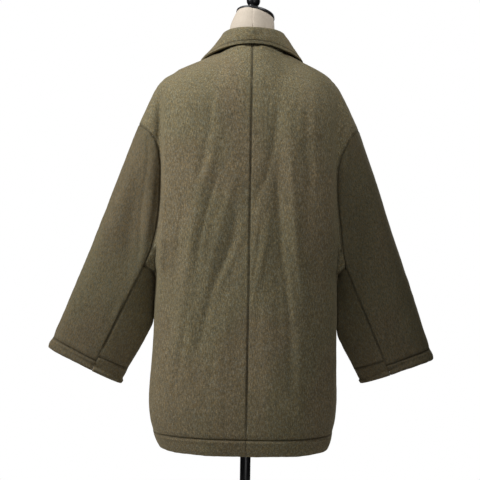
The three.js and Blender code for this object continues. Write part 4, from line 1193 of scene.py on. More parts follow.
@dataclass
class Panel:
    """One cut panel of the coat: copied from its CAD node, rounded, refined and given its relief.

    Angles are in degrees: faces that turn by less than patch_angle are one patch, and patches that meet at
    less than sheet_angle are one sheet. Nothing beyond far counts as a neighbour.
    """

    node: str
    kind_of: EdgeSorter
    finish: bpy.types.Material
    lean: float = 0.0
    fill: float = 0.35
    relief: Relief = Relief()
    press: Press = Press()
    folds: tuple[tuple[Fold, ...], tuple[Fold, ...]] = (BACK_FOLDS, FRONT_FOLDS)
    crease: float = 0.6
    fold_crease: float = 0.12
    corner_angle: float = 45.0
    patch_angle: float = 30.0
    sheet_angle: float = 64.0
    levels: int = 2
    smoothing: float = 0.5
    far: float = 30 * MM

    def zones(self, mesh: bmesh.types.BMesh) -> None:
        """Marks each face as outer sheet, inner sheet or rim, in its material index.

        Smooth patches are found first. Patches that meet at a low angle on average are one sheet, and
        the two largest are the sheets.

        Args:
            mesh: The panel's cage.
        """
        label: dict[bmesh.types.BMFace, int] = {}
        patches: list[list[bmesh.types.BMFace]] = []
        for start in mesh.faces:
            if start in label:
                continue
            label[start] = len(patches)
            patch, stack = [], [start]
            while stack:
                face = stack.pop()
                patch.append(face)
                for edge in face.edges:
                    if edge.calc_face_angle(math.pi) > math.radians(self.patch_angle):
                        continue
                    for other in edge.link_faces:
                        if other not in label:
                            label[other] = len(patches)
                            stack.append(other)
            patches.append(patch)
        while joined := self.flattest_contact(mesh, label):
            keep, drop = joined
            for face in patches[drop]:
                label[face] = keep
            patches[keep] += patches[drop]
            patches[drop] = []
        patches.sort(key=lambda faces: -sum(face.calc_area() for face in faces))
        zones = itertools.chain((Zone.OUTER, Zone.INNER), itertools.repeat(Zone.RIM))
        for patch, zone in zip(patches, zones):
            for face in patch:
                face.material_index = zone.value

    def flattest_contact(self, mesh: bmesh.types.BMesh,
                         label: dict[bmesh.types.BMFace, int]) -> tuple[int, int] | None:
        """Finds the two patches that meet most flatly.

        Args:
            mesh: The panel's cage.
            label: Each face's patch.

        Returns:
            The two patches, or None if every contact is a real corner.
        """
        contacts: dict[tuple[int, int], list[float]] = {}
        for edge in mesh.edges:
            pair = tuple(sorted(label[face] for face in edge.link_faces))
            if pair[0] != pair[1]:
                total = contacts.setdefault(pair, [0.0, 0.0])
                length = edge.calc_length()
                total[0] += edge.calc_face_angle(0) * length
                total[1] += length
        means = {pair: angle / length for pair, (angle, length) in contacts.items()}
        best = min(means, key=means.get, default=None)
        return best if best and means[best] < math.radians(self.sheet_angle) else None

    def rims(self, mesh: bmesh.types.BMesh) -> list[RimEdge]:
        """Finds the outer sheet's border and creases both sheets' borders, softly at folded edges.

        Args:
            mesh: The panel's cage.

        Returns:
            The outer sheet's border edges.
        """
        layer = creased(mesh)
        border = []
        for edge in mesh.edges:
            zones = {face.material_index for face in edge.link_faces}
            if len(zones) < 2:
                if Zone.RIM.value in zones and edge.calc_face_angle(0) > math.radians(self.corner_angle):
                    edge[layer] = self.crease
                continue
            first, second = (vert.co.copy() for vert in edge.verts)
            kind = self.kind_of((first + second) / 2, (second - first).normalized())
            edge[layer] = self.fold_crease if kind in (Edge.HEM, Edge.CUFF) else self.crease
            for face in edge.link_faces:
                if self.outer(face):
                    run = (second - first).normalized()
                    inward = face.calc_center_median() - first
                    inward -= run * inward.dot(run)
                    border.append(RimEdge(first, second, kind, inward.normalized(), face.normal.copy()))
        return border

    def build(self, nodes: Nodes, neighbours: BVHTree, noise: Sequence[SoftNoise]) -> "SewnPanel":
        """Makes the finished panel.

        Args:
            nodes: The CAD nodes by name.
            neighbours: Every other solid, to stay clear of.
            noise: Noises for the swell, the ripples and the puckers.

        Returns:
            What the stitching needs to know of it.
        """
        mesh = merged_copy(nodes[self.node])
        self.zones(mesh)
        rims = self.rims(mesh)
        seams = Seams(rims)
        mesh = modified(mesh, "SUBSURF", levels=self.levels, render_levels=self.levels)
        self.refine(mesh)
        # A vertex layer of painted shade in seams and along stitched lines, which the wool's colour reads
        layer = mesh.verts.layers.float.new(SEAM_PAINTED_SHADE)
        verts = [vert for vert in mesh.verts if any(map(self.outer, vert.link_faces))]
        points = np.array([vert.co for vert in verts])
        normals = np.array([self.facing(vert) for vert in verts])
        lift, shade = self.heights(points, normals, seams, noise)
        distance = np.array([self.clearance(neighbours, point) for point in points])
        room = self.press.room(points, distance)
        if self.press.most:
            lift = self.press.swollen(lift, room, distance, seams.near(points, Edge.SEAM)[0])
        lift = np.clip(lift, self.relief.lowest, room)
        # Each outer vertex is lifted and given its painted shade
        for vert, place, dark in zip(verts, points + normals * lift[:, None], shade):
            vert.co = place
            vert[layer] = dark
        mesh.normal_update()
        surface = BVHTree.FromBMesh(mesh)
        piece = finished(self.node + "_cloth", mesh, self.finish, (self.node,))
        return SewnPanel(rims, seams, surface)

    @staticmethod
    def outer(face: bmesh.types.BMFace) -> bool:
        """Whether a face is in the outer sheet."""
        return face.material_index == Zone.OUTER.value

    def refine(self, mesh: bmesh.types.BMesh) -> None:
        """Halves the outer sheet's faces and smooths it inside its border.

        Args:
            mesh: The rounded panel.
        """
        edges = list({edge for face in mesh.faces if self.outer(face) for edge in face.edges})
        bmesh.ops.subdivide_edges(mesh, edges=edges, cuts=1, use_grid_fill=True)
        inside = {vert for face in mesh.faces if self.outer(face) for vert in face.verts
                  if all(map(self.outer, vert.link_faces))}
        bmesh.ops.smooth_vert(mesh, verts=list(inside), factor=self.smoothing, use_axis_x=True,
                              use_axis_y=True, use_axis_z=True)
        mesh.normal_update()

    def facing(self, vert: bmesh.types.BMVert) -> Vector:
        """The normal of the outer sheet at a vertex, without the rim beside it."""
        return sum((face.normal for face in filter(self.outer, vert.link_faces)), Vector()).normalized()

    def clearance(self, neighbours: BVHTree, point: np.ndarray) -> float:
        """How far off the nearest other piece is, up to a limit."""
        distance = neighbours.find_nearest(Vector(point), self.far)[3]
        return self.far if distance is None else distance

    def heights(self, points: np.ndarray, normals: np.ndarray, seams: Seams,
                noise: Sequence[SoftNoise]) -> tuple[np.ndarray, np.ndarray]:
        """The relief of the outer sheet.

        Args:
            points: Rows of x, y, z in metres.
            normals: The surface's normals there.
            seams: The panel's rims.
            noise: Noises for the swell, the ripples and the puckers.

        Returns:
            The lift of each point along its normal, in metres, and its painted shade, to 1, as deep as it
            lies in a seam or a stitched line.
        """
        relief = self.relief
        swell, ripple, lump = noise
        shade = np.zeros(len(points))
        turn = np.array(Matrix.Rotation(math.radians(-self.lean), 3, "Y"))
        grain = points @ turn.T
        lift = relief.swell * swell.at(grain, relief.swell_cell)
        lift += relief.ripple * ripple.at(grain, relief.ripple_cell)
        lift += relief.lump * lump.at(grain, relief.lump_cell)
        for folds, sign in zip(self.folds, (1, -1)):
            facing = np.clip(normals[:, 1] * sign * relief.faced, 0, 1)
            for fold in folds:
                lift += fold.height(points, facing)
        lines = [(line, *seams.near(points, kind)) for kind, line in LINES.items() if kind in seams.trees]
        if Edge.SEAM in seams.trees:
            distance, place = seams.near(points, Edge.SEAM)
            calm = 1 - np.exp(-distance / relief.loft_reach)
            lift = lift * (relief.calm + (1 - relief.calm) * calm) + relief.loft * (calm - relief.loft_from)
            sunk = np.exp(-(distance / relief.seam_reach) ** 2)
            for line, edge, _ in lines:
                sunk *= np.clip(edge / (line.pressed * line.inset), line.pressed_least, 1)
            lift -= relief.seam_depth * sunk
            # Painted shade in the seam's groove
            shade = np.maximum(shade, sunk)
            lift += relief.seam_pucker * np.exp(-distance / relief.pucker_reach) * lump.at(
                place, relief.pucker_cell)
        broad = np.clip(relief.broad * np.abs(normals[:, 1]) - relief.broad_from, relief.broad_least, 1)
        for line, edge, place in lines:
            off = edge - line.inset
            sunk = np.exp(-(off / line.width) ** 2)
            lift += broad * (line.swell * line.band(off) - line.depth * sunk)
            # Painted shade along the stitched line
            shade = np.maximum(shade, line.shade * sunk)
            lift += line.pucker * np.exp(-np.abs(off) / line.reach) * lump.at(place, relief.stitch_cell)
        return lift, shade


@dataclass
class SewnPanel:
    """What is left of a finished panel for the sewing: its border and its surface."""

    rims: list[RimEdge]
    seams: Seams
    surface: BVHTree


@dataclass
class Coat:
    """The padded coat: four body panels, four sleeve pieces and the collar.

    cuffs holds each cuff's outer and inner end as x and z in millimetres. A rim edge within cuff_depth of the
    line between them belongs to the cuff. The neckline is an ellipse, and leaf_out beyond it the collar is
    free.
    """

    hem_top: float = 500 * MM
    front_edge: float = 12 * MM
    front_top: float = 1240 * MM
    level_run: float = 0.6
    sleeve_lean: float = 17.0
    neck_half: float = 70 * MM
    neck_back: float = 60 * MM
    neck_front: float = 78 * MM
    leaf_out: float = 8 * MM
    body_press: Press = Press(behind=0.8, before=0.2, most=3.2 * MM)
    sleeve_press: Press = Press(behind=0.2, before=0.8, most=3.2 * MM)
    collar_lean: float = 90.0
    collar_relief: Relief = Relief(swell=0.5 * MM, ripple=0.2 * MM, loft=0.4 * MM, seam_depth=0.5 * MM,
                                   lowest=-1.2 * MM)
    sleeve_dark: Screen = (92, 84, 63)
    sleeve_light: Screen = (144, 133, 106)
    seeds: tuple[int, int, int] = (11, 23, 37)
    cuff_depth: float = 14 * MM
    # Painted shade for each sleeve piece, as a share of the wool's value: lowest on the right, where less
    # light falls
    sleeve_painted_shade: tuple[tuple[tuple[Side, str], float], ...] = (
        ((Side.LEFT, "upper"), 0.74), ((Side.LEFT, "under"), 0.9),
        ((Side.RIGHT, "upper"), 0.64), ((Side.RIGHT, "under"), 0.75),
    )
    cuffs: tuple[tuple[Side, Pair, Pair], ...] = (
        (Side.LEFT, (438, 696), (275, 618)),
        (Side.RIGHT, (-411, 684), (-250, 627)),
    )

    def body_edge(self, side: Side, front: bool, point: Vector, run: Vector) -> Edge:
        """Tells a body panel's hem and front edge from its seams.

        Args:
            side: The wearer's side.
            front: Whether the panel is a front.
            point: A point on the rim.
            run: The way the rim runs there.

        Returns:
            The kind of the rim there.
        """
        level = abs(run.z) < self.level_run
        if point.z < self.hem_top and level:
            return Edge.HEM
        beyond = -point.x * side.value > self.front_edge
        if front and beyond and point.y < 0 and point.z < self.front_top and not level:
            return Edge.FRONT
        return Edge.SEAM

    def sleeve_edge(self, side: Side, point: Vector, run: Vector) -> Edge:
        """Tells a sleeve piece's cuff from its seams.

        Args:
            side: The wearer's side.
            point: A point on the rim.
            run: The way the rim runs there.

        Returns:
            The kind of the rim there.
        """
        start, end = next((Vector(outer) * MM, Vector(inner) * MM)
                          for owner, outer, inner in self.cuffs if owner is side)
        line = (end - start).normalized()
        down = Vector((line.y, -line.x))
        if down.y > 0:
            down.negate()
        past = (Vector((point.x, point.z)) - start).dot(down)
        level = abs(Vector((run.x, run.z)).dot(down)) < self.level_run
        return Edge.CUFF if past > -self.cuff_depth and level else Edge.SEAM

    def collar_edge(self, point: Vector, _run: Vector) -> Edge:
        """Tells the collar's free edge from its seam on the neckline.

        Args:
            point: A point on the rim.
            _run: The way the rim runs, which makes no difference here.

        Returns:
            The kind of the rim there.
        """
        depth = (self.neck_back if point.y > 0 else self.neck_front) + self.leaf_out
        out = (point.x / (self.neck_half + self.leaf_out)) ** 2 + (point.y / depth) ** 2
        return Edge.LEAF if out > 1 else Edge.SEAM

    def panels(self) -> list[Panel]:
        """Lists the panels.

        Returns:
            Every panel of the coat, ready to build.
        """
        body = Wool("wool_body").build()
        made = []
        for side in Side:
            word = side.name.lower()
            lean = self.sleeve_lean * side.value
            for name, front in (("back", False), ("front", True)):
                sorter = functools.partial(self.body_edge, side, front)
                made.append(Panel(f"{name}_{word}", sorter, body, press=self.body_press))
            for piece in ("upper", "under"):
                # Each sleeve piece's tone is its painted shade
                wool = Wool(f"wool_{piece}_{word}", lean=lean, tone=dict(self.sleeve_painted_shade)[side, piece],
                            dark=self.sleeve_dark, light=self.sleeve_light)
                sorter = functools.partial(self.sleeve_edge, side)
                made.append(Panel(f"sleeve_{piece}_{word}", sorter, wool.build(), lean=lean,
                                  press=self.sleeve_press))
        wool = Wool("wool_collar", lean=self.collar_lean)
        made.append(Panel("collar", self.collar_edge, wool.build(), lean=self.collar_lean,
                          folds=(COLLAR_FOLDS, ()), relief=self.collar_relief))
        return made

    def build(self, nodes: Nodes) -> dict[str, SewnPanel]:
        """Makes every panel.

        Args:
            nodes: The CAD nodes by name.

        Returns:
            What the stitching needs to know of each panel, by node name.
        """
        noise = [SoftNoise(seed) for seed in self.seeds]
        return {panel.node: panel.build(nodes, neighbours_of(nodes, panel.node), noise)
                for panel in self.panels()}


def neighbours_of(nodes: Nodes, own: str) -> BVHTree:
    """One search tree of every CAD node but one.

    Args:
        nodes: The CAD nodes by name.
        own: The node that is left out.

    Returns:
        The search tree.
    """
    verts: list[Vector] = []
    faces: list[tuple[int, ...]] = []
    for name, node in nodes.items():
        if name == own:
            continue
        start = len(verts)
        verts.extend(vert.co for vert in node.data.vertices)
        faces.extend(tuple(start + index for index in polygon.vertices) for polygon in node.data.polygons)
    return BVHTree.FromPolygons(verts, faces)


@dataclass(frozen=True)
class Grain:
    """One stitch that shows: a lens of thread, half sunk in the cloth."""

    length: float
    radius: float

    def add(self, mesh: bmesh.types.BMesh, place: Vector, along: Vector, out: Vector) -> None:
        """Adds the stitch to a mesh.

        Args:
            mesh: The stitches' mesh.
            place: Its middle.
            along: The way it runs.
            out: The cloth's normal.
        """
        side = out.cross(along).normalized()
        along = side.cross(out).normalized()
        rows = along * self.length / 2, side * self.radius, out.normalized() * self.radius
        lying = Matrix(rows).transposed().to_4x4() @ Matrix.Rotation(math.pi / 2, 4, "Y")
        bmesh.ops.create_uvsphere(mesh, u_segments=6, v_segments=4, radius=1.0,
                                  matrix=Matrix.Translation(place) @ lying)


@dataclass
class Sewing:
    """The rows of stitches along the hem, the cuffs, the collar and the front edges.

    A row is found by a walk of a few steps over the cloth from each place on the border. It is dropped where
    the cloth turns away, or where another edge is nearer than clear times the inset.
    """

    pitch: float = 4.4 * MM
    grain: Grain = Grain(3.4 * MM, 0.42 * MM)
    slant: float = 6.0
    steps: int = 4
    clear: float = 0.85
    proud: float = 0.12 * MM
    longest: float = 1.8
    turned_away: float = 0.2

    def build(self, panels: dict[str, SewnPanel]) -> None:
        """Sews every row.

        Args:
            panels: The finished panels by node name.
        """
        thread = Thread("sewing_thread").build()
        for kind, line in LINES.items():
            mesh = bmesh.new()
            for panel in panels.values():
                for chain in self.chains(panel.rims, kind):
                    self.row(mesh, panel, chain, kind, line.inset)
            finished("stitches_" + kind.name.lower(), mesh, thread)

    @staticmethod
    def spot(place: Vector) -> tuple[int, ...]:
        """A place rounded to the welding distance, to tell whether two ends meet."""
        return tuple(round(value / WELD) for value in place)

    def chains(self, rims: Iterable[RimEdge], kind: Edge) -> list[list[tuple[Vector, Vector, Vector]]]:
        """Puts the border edges of a kind in order.

        Args:
            rims: A panel's border edges.
            kind: The kind that is wanted.

        Returns:
            For each unbroken run, its points, each with the way inward and the normal there.
        """
        at: dict[tuple[int, ...], list[RimEdge]] = {}
        for rim in rims:
            if rim.kind is kind:
                for end in (rim.first, rim.second):
                    at.setdefault(self.spot(end), []).append(rim)
        used: set[int] = set()
        found = []
        for key in sorted(at, key=lambda spot: (len(at[spot]), spot)):
            run = []
            while step := next((rim for rim in at[key] if id(rim) not in used), None):
                used.add(id(step))
                here, there = step.first, step.second
                if self.spot(here) != key:
                    here, there = there, here
                if not run:
                    run.append((here, step.inward, step.out))
                run.append((there, step.inward, step.out))
                key = self.spot(there)
            if run:
                found.append(run)
        return found

    def row(self, mesh: bmesh.types.BMesh, panel: SewnPanel, chain: Sequence[tuple[Vector, Vector, Vector]],
            kind: Edge, inset: float) -> None:
        """Sews one row at a distance from a border.

        Args:
            mesh: The stitches' mesh.
            panel: The panel that is sewn.
            chain: The border's points, ways inward and normals.
            kind: The kind of border.
            inset: How far in the row lies.
        """
        spots = []
        left = self.pitch / 2
        for (first, inward, out), (second, later, _) in itertools.pairwise(chain):
            length = (second - first).length
            while left < length:
                share = left / length
                spot = self.march(panel, first.lerp(second, share), inward.lerp(later, share), out, inset)
                if spot and panel.seams.trees[kind].find(spot[0])[2] > inset * self.clear:
                    spots.append(spot)
                left += self.pitch
            left -= length
        turn = math.radians(self.slant)
        for (place, out), (ahead, _) in itertools.pairwise(spots):
            along = ahead - place
            if along.length < self.pitch * self.longest:
                along.rotate(Matrix.Rotation(turn, 3, out))
                self.grain.add(mesh, place + out * self.proud, along, out)

    def march(self, panel: SewnPanel, place: Vector, way: Vector, out: Vector,
              inset: float) -> tuple[Vector, Vector] | None:
        """Walks over the cloth from the border.

        Args:
            panel: The panel that is sewn.
            place: A point on the border.
            way: The way inward.
            out: The normal beside the border.
            inset: How far to walk.

        Returns:
            The place reached and the normal there, or None if the walk left the outer sheet.
        """
        for _ in range(self.steps):
            place, normal, _, _ = panel.surface.find_nearest(place + way * (inset / self.steps))
            if normal.dot(out) < self.turned_away:
                return None
            way = (way - normal * way.dot(normal)).normalized()
            out = normal
        return place, out


@dataclass
class Closure:
    """The five sewn-through horn buttons and their worked buttonholes on the right front.

    profile gives the button's radius and height in millimetres, with its dished face up. slit holds the ends
    of a buttonhole from the button's middle. Its lips and its round eye are worked with bites of thread.
    """

    profile: tuple[Pair, ...] = (
        (0, 0), (10.6, 0), (11.5, 0.35), (12, 1.2), (12, 2.7), (11.6, 3.6), (10.6, 4), (9.6, 3.9), (8.7, 3.2),
        (7.4, 2.7), (4, 2.45), (0, 2.4))
    sides: int = 64
    hole: float = 1.15 * MM
    hole_sides: int = 16
    drill: float = 20 * MM
    spread: float = 2.1 * MM
    softened: float = 0.18 * MM
    sharp: float = 50.0
    count: int = 5
    strand: Grain = Grain(5.8 * MM, 0.42 * MM)
    strand_pitch: float = 0.4 * MM
    strand_height: float = 2.75 * MM
    shank: Triple = (2.4 * MM, 2.0 * MM, 1.6 * MM)
    shank_middle: float = -0.5 * MM
    slit: Pair = (3 * MM, -20 * MM)
    # The dark lens of painted shade in each slit: its radius and how far it stands proud
    slit_radius: float = 0.5 * MM
    slit_proud: float = 0.05 * MM
    bite: Grain = Grain(2.4 * MM, 0.36 * MM)
    bite_pitch: float = 0.95 * MM
    bite_proud: float = 0.1 * MM
    eye_bites: int = 7
    lip: float = 1.25 * MM

    def blank(self) -> bmesh.types.BMesh:
        """Turns one button with its dished face up and drills its four holes.

        Returns:
            The button, at the origin.
        """
        drills = bmesh.new()
        for across, up in itertools.product((-self.spread, self.spread), repeat=2):
            bmesh.ops.create_cone(drills, cap_ends=True, segments=self.hole_sides, radius1=self.hole,
                                  radius2=self.hole, depth=self.drill,
                                  matrix=Matrix.Translation((across, up, 0)))
        bits = bpy.data.meshes.new("drill")
        drills.to_mesh(bits)
        drills.free()
        cutter = bpy.data.objects.new("drill", bits)
        bpy.context.scene.collection.objects.link(cutter)
        drilled = modified(lathed(self.profile, self.sides), "BOOLEAN", operation="DIFFERENCE",
                           solver="EXACT", object=cutter)
        bpy.data.objects.remove(cutter)
        soften(drilled, self.softened, self.sharp, segments=2)
        return drilled

    @staticmethod
    def seat(node: bpy.types.Object) -> Matrix:
        """The place and turn of a button, from its CAD node.

        Args:
            node: The button's node.

        Returns:
            A matrix that puts a blank on the node.
        """
        points = np.array([vert.co for vert in node.data.vertices])
        middle = points.mean(axis=0)
        out = Vector(np.linalg.svd(points - middle, full_matrices=False)[2][2])
        if out.y > 0:
            out.negate()
        depth = (points - middle) @ np.array(out)
        up = Vector((0, 0, 1))
        side = up.cross(out).normalized()
        axes = Matrix((side, out.cross(side), out)).transposed().to_4x4()
        return Matrix.Translation(Vector(middle) + out * float(depth.min())) @ axes

    def build(self, nodes: Nodes, front: SewnPanel) -> None:
        """Makes the buttons, their thread and the buttonholes.

        Args:
            nodes: The CAD nodes by name.
            front: The right front, which lies on top.
        """
        horn = Horn("button_horn").build()
        thread = Thread("button_thread", dark=(40, 33, 24), light=(74, 62, 44)).build()
        # A dark lens in each slit is painted shade: the shade inside the cut
        shadow = Thread("slit_shadow", dark=(12, 10, 8), light=(24, 20, 15)).build()
        blank = self.blank()
        sewn = bmesh.new()
        worked = bmesh.new()
        slit_shadows = bmesh.new()
        for index in range(1, self.count + 1):
            node = nodes[f"button_{index}"]
            place = self.seat(node)
            button = blank.copy()
            bmesh.ops.transform(button, matrix=place, verts=button.verts[:])
            finished(f"horn_button_{index}", button, horn, (node.name,))
            self.sew_on(sewn, place)
            self.buttonhole(worked, slit_shadows, front, place.translation)
        blank.free()
        finished("button_sewing", sewn, thread)
        finished("buttonhole_stitches", worked, thread)
        finished("buttonhole_slit_shadows", slit_shadows, shadow)

    def sew_on(self, mesh: bmesh.types.BMesh, place: Matrix) -> None:
        """Adds the strands through one button and its short shank.

        Args:
            mesh: The thread's mesh.
            place: The button's place.
        """
        along, out = place.col[0].to_3d(), place.col[2].to_3d()
        for row, shift in itertools.product((-self.spread, self.spread), (-1, 0, 1)):
            middle = place @ Vector((0, row + shift * self.strand_pitch, self.strand_height))
            self.strand.add(mesh, middle, along, out)
        bottom, top, height = self.shank
        bmesh.ops.create_cone(mesh, cap_ends=True, segments=self.hole_sides, radius1=bottom, radius2=top,
                              depth=height, matrix=place @ Matrix.Translation((0, 0, self.shank_middle)))

    def buttonhole(self, worked: bmesh.types.BMesh, slit_shadows: bmesh.types.BMesh, front: SewnPanel,
                   middle: Vector) -> None:
        """Works one buttonhole: a bite of thread every millimetre along both lips and round the eye.

        Args:
            worked: The buttonhole stitches' mesh.
            slit_shadows: The mesh of the dark lenses that are painted shade in the slits.
            front: The front that it is cut in.
            middle: The button's place.
        """
        begin, end = self.slit
        steps = round((begin - end) / self.bite_pitch)
        spots = [(end + self.bite_pitch * step, side * self.lip, Vector((0, 0, 1)))
                 for step in range(steps) for side in (-1, 1)]
        for turn in np.linspace(-math.pi / 2, math.pi / 2, self.eye_bites):
            way = Vector((math.cos(turn), 0, math.sin(turn)))
            spots.append((begin + way.x * self.lip, way.z * self.lip, way))
        for across, up, way in spots:
            place, normal, _, _ = front.surface.find_nearest(middle + Vector((across, 0, up)))
            self.bite.add(worked, place + normal * self.bite_proud, way, normal)
        # A dark lens along the slit is painted shade inside the cut
        place, normal, _, _ = front.surface.find_nearest(middle + Vector(((begin + end) / 2, 0, 0)))
        slit = Grain(begin - end, self.slit_radius)
        slit.add(slit_shadows, place + normal * self.slit_proud, Vector((1, 0, 0)), normal)


# The dress form


@dataclass
class DressForm:
    """The limbless form: linen torso and neck, tilted cap with a turned knob, bottom plate, pole and base.

    Profiles give radius and height in millimetres. The cap's and the knob's start at the cap's underside,
    and the ball sits on the top of the knob's foot.
    """

    cap_place: Triple = (-5.5 * MM, 0.0, 1430.95 * MM)
    cap_lean: Triple = (-0.19, -0.27, 1.0)
    cap: tuple[Pair, ...] = ((0, 0.3), (43, 0.3), (43, 6.3), (0, 6.3))
    cap_edge: float = 1.4 * MM
    knob_offset: float = 11 * MM
    foot: tuple[Pair, ...] = ((0, 6.6), (10.5, 6.6), (10.5, 8.6), (9.8, 10.2), (8.6, 15), (8, 20), (8, 23.6))
    ball: float = 15.5
    ball_steps: int = 21
    sides: int = 64
    cap_sides: int = 96
    base_sides: int = 128
    levels: int = 2
    pole: tuple[Pair, ...] = ((0, 42.3), (11.5, 42.3), (11.5, 706.4), (0, 706.4))
    base: tuple[Pair, ...] = ((0, 0), (172, 0), (175, 3), (175, 7), (172, 10), (60, 16), (30, 18), (22.5, 27),
                              (18, 40), (16, 42), (0, 42))
    metal_edge: float = 0.8 * MM
    turned_sharp: float = 40.0
    plate_edge: float = 1.5 * MM
    satin: float = 0.42
    sharp: float = 50.0
    crease: float = 0.7
    seam_width: float = 1.4 * MM
    seam_depth: float = 0.8 * MM
    upright: float = 0.7
    nearby: float = 0.01 * MM

    def tilt(self) -> Matrix:
        """The place and lean of the cap's underside."""
        lean = Vector((0, 0, 1)).rotation_difference(Vector(self.cap_lean).normalized())
        return Matrix.Translation(self.cap_place) @ lean.to_matrix().to_4x4()

    def torso(self, nodes: Nodes) -> None:
        """Rounds the torso and sinks its centre seams, in front and behind.

        Args:
            nodes: The CAD nodes by name.
        """
        mesh = merged_copy(nodes["form_torso"])
        layer = creased(mesh)
        for edge in mesh.edges:
            if edge.calc_face_angle(0) > math.radians(self.sharp):
                edge[layer] = self.crease
        mesh = modified(mesh, "SUBSURF", levels=self.levels, render_levels=self.levels)
        for place in (-self.seam_width, 0.0, self.seam_width):
            bmesh.ops.bisect_plane(mesh, geom=mesh.verts[:] + mesh.edges[:] + mesh.faces[:], dist=CUT_WELD,
                                   plane_co=(place, 0, 0), plane_no=(1, 0, 0))
        mesh.normal_update()
        seam = [vert for vert in mesh.verts
                if abs(vert.co.x) < self.nearby and abs(vert.normal.z) < self.upright]
        for vert in seam:
            vert.co -= vert.normal * self.seam_depth
        finished("form_linen", mesh, Linen("form_linen").build(), ("form_torso",))

    def knob(self) -> list[Pair]:
        """The knob's profile: its foot, and a ball that begins where the foot ends.

        Returns:
            Radius and height of each point in millimetres.
        """
        neck, top = self.foot[-1]
        centre = top + math.sqrt(self.ball ** 2 - neck ** 2)
        turns = np.linspace(math.asin(neck / self.ball), math.pi, self.ball_steps + 1)[1:-1]
        ball = [(self.ball * math.sin(turn), centre - self.ball * math.cos(turn)) for turn in turns]
        return [*self.foot, *ball, (0, centre + self.ball)]

    def turned(self, name: str, node: str, mesh: bmesh.types.BMesh, finish: bpy.types.Material,
               place: Matrix) -> None:
        """Puts a lathed black piece in place of its CAD node.

        Args:
            name: The piece's name.
            node: The CAD node that it stands for.
            mesh: The lathed piece.
            finish: Its material.
            place: Where it goes.
        """
        bmesh.ops.transform(mesh, matrix=place, verts=mesh.verts[:])
        finished(name, mesh, finish, (node,))

    def build(self, nodes: Nodes) -> None:
        """Makes the form's pieces.

        Args:
            nodes: The CAD nodes by name.
        """
        paint = BlackPaint("black_paint").build()
        satin = BlackPaint("black_satin", gloss=self.satin).build()
        self.torso(nodes)
        cap = lathed(self.cap, self.cap_sides)
        pole = lathed(self.pole, self.sides)
        base = lathed(self.base, self.base_sides)
        for mesh, width in ((cap, self.cap_edge), (pole, self.metal_edge), (base, self.metal_edge)):
            soften(mesh, width, self.turned_sharp)
        tilt = self.tilt()
        self.turned("neck_cap_turned", "neck_cap", cap, satin, tilt)
        self.turned("finial_turned", "finial", lathed(self.knob(), self.sides), paint,
                    tilt @ Matrix.Translation((self.knob_offset, 0, 0)))
        self.turned("pole_tube", "pole", pole, paint, Matrix.Identity(4))
        self.turned("base_dish", "base", base, paint, Matrix.Identity(4))
        plate = merged_copy(nodes["form_plate"])
        soften(plate, self.plate_edge, self.sharp)
        finished("plate_board", plate, satin, ("form_plate",))


# Studio


@dataclass(frozen=True)
class Lamp:
    """A soft square lamp: where it stands, the point that it faces, its side in metres and its watts."""

    name: str
    place: Triple
    aim: Triple
    size: float
    power: float

    def build(self) -> None:
        """Puts up the lamp."""
        light = bpy.data.lights.new(self.name, "AREA")
        light.size = self.size
        light.energy = self.power
        lamp = bpy.data.objects.new(self.name, light)
        lamp.location = self.place
        lamp.rotation_euler = (Vector(self.aim) - Vector(self.place)).to_track_quat("-Z", "Y").to_euler()
        bpy.context.scene.collection.objects.link(lamp)


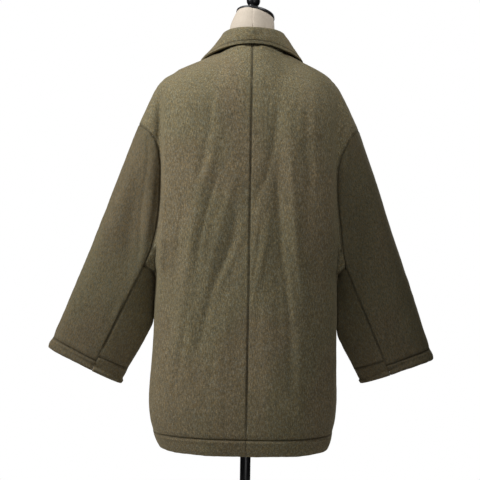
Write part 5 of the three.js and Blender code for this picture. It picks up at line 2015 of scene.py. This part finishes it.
@dataclass
class Studio:
    """The floor, the lights, the white surroundings and the camera."""

    floor_radius: float = 1.6
    floor_sides: int = 96
    fade_from: float = 0.7
    fade_margin: float = 0.05
    grey: Linear = (0.96, 0.98, 1.0, 1.0)
    grey_strength: float = 0.012
    eye: Triple = (0.0198, 3.0, 0.939)
    roll: float = 0.955
    sensor: float = 36.0
    focal: float = 102.27
    lamps: tuple[Lamp, ...] = (
        Lamp("key", (1.6, 0.7, 2.05), (0.0, 0.0, 1.1), size=0.7, power=35),
        Lamp("high_left", (1.0, 0.4, 2.6), (0.0, 0.0, 1.1), size=0.8, power=6),
        Lamp("high_right", (-0.4, 0.5, 1.95), (-0.02, 0.0, 1.4), size=0.35, power=4.1),
        Lamp("low_behind", (-0.5, 2.5, 0.7), (-0.1, 0.0, 0.7), size=1.2, power=7.5),
        Lamp("front", (-1.5, -2.4, 1.9), (0.0, 0.0, 0.9), size=1.4, power=20),
    )

    def build(self) -> None:
        """Sets up the studio."""
        self.surroundings()
        self.floor()
        for lamp in self.lamps:
            lamp.build()
        self.camera()
        bpy.context.scene.view_settings.view_transform = "Standard"

    def surroundings(self) -> None:
        """White to the camera, and a softer grey to everything else."""
        world = bpy.data.worlds.new("white")
        world.use_nodes = True
        nodes = NodeTree(world.node_tree)
        out = world.node_tree.nodes["World Output"]
        grey = world.node_tree.nodes["Background"]
        grey.inputs["Color"].default_value = self.grey
        grey.inputs["Strength"].default_value = self.grey_strength
        white = nodes.add("ShaderNodeBackground")
        white.inputs["Color"].default_value = (1, 1, 1, 1)
        either = nodes.add("ShaderNodeMixShader")
        nodes.feed(either.inputs[0], nodes.add("ShaderNodeLightPath").outputs["Is Camera Ray"])
        nodes.feed(either.inputs[1], grey.outputs[0])
        nodes.feed(either.inputs[2], white.outputs[0])
        nodes.feed(out.inputs["Surface"], either.outputs[0])
        bpy.context.scene.world = world

    def floor(self) -> None:
        """Lays the pale floor."""
        mesh = bmesh.new()
        bmesh.ops.create_circle(mesh, cap_ends=True, segments=self.floor_sides, radius=self.floor_radius)
        data = bpy.data.meshes.new("floor")
        mesh.to_mesh(data)
        mesh.free()
        paper = FloorPaper("floor_paper", fade=(self.fade_from, self.floor_radius - self.fade_margin))
        data.materials.append(paper.build())
        floor = bpy.data.objects.new("floor", data)
        bpy.context.scene.collection.objects.link(floor)

    def camera(self) -> None:
        """Places the camera behind the coat, level, with the photograph's slight roll."""
        data = bpy.data.cameras.new("camera")
        data.sensor_width = self.sensor
        data.lens = self.focal
        camera = bpy.data.objects.new("camera", data)
        level = Matrix.Rotation(math.pi, 4, "Z") @ Matrix.Rotation(math.pi / 2, 4, "X")
        roll = Matrix.Rotation(math.radians(self.roll), 4, "Z")
        camera.matrix_world = Matrix.Translation(self.eye) @ level @ roll
        bpy.context.scene.collection.objects.link(camera)
        bpy.context.scene.camera = camera


def main() -> None:
    """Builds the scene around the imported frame."""
    logging.basicConfig(level=logging.INFO, format="%(name)s: %(message)s")
    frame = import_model()
    nodes = frame["nodes"]
    Studio().build()
    DressForm().build(nodes)
    panels = Coat().build(nodes)
    Sewing().build(panels)
    Closure().build(nodes, panels["front_right"])


if __name__ == "__main__":
    main()
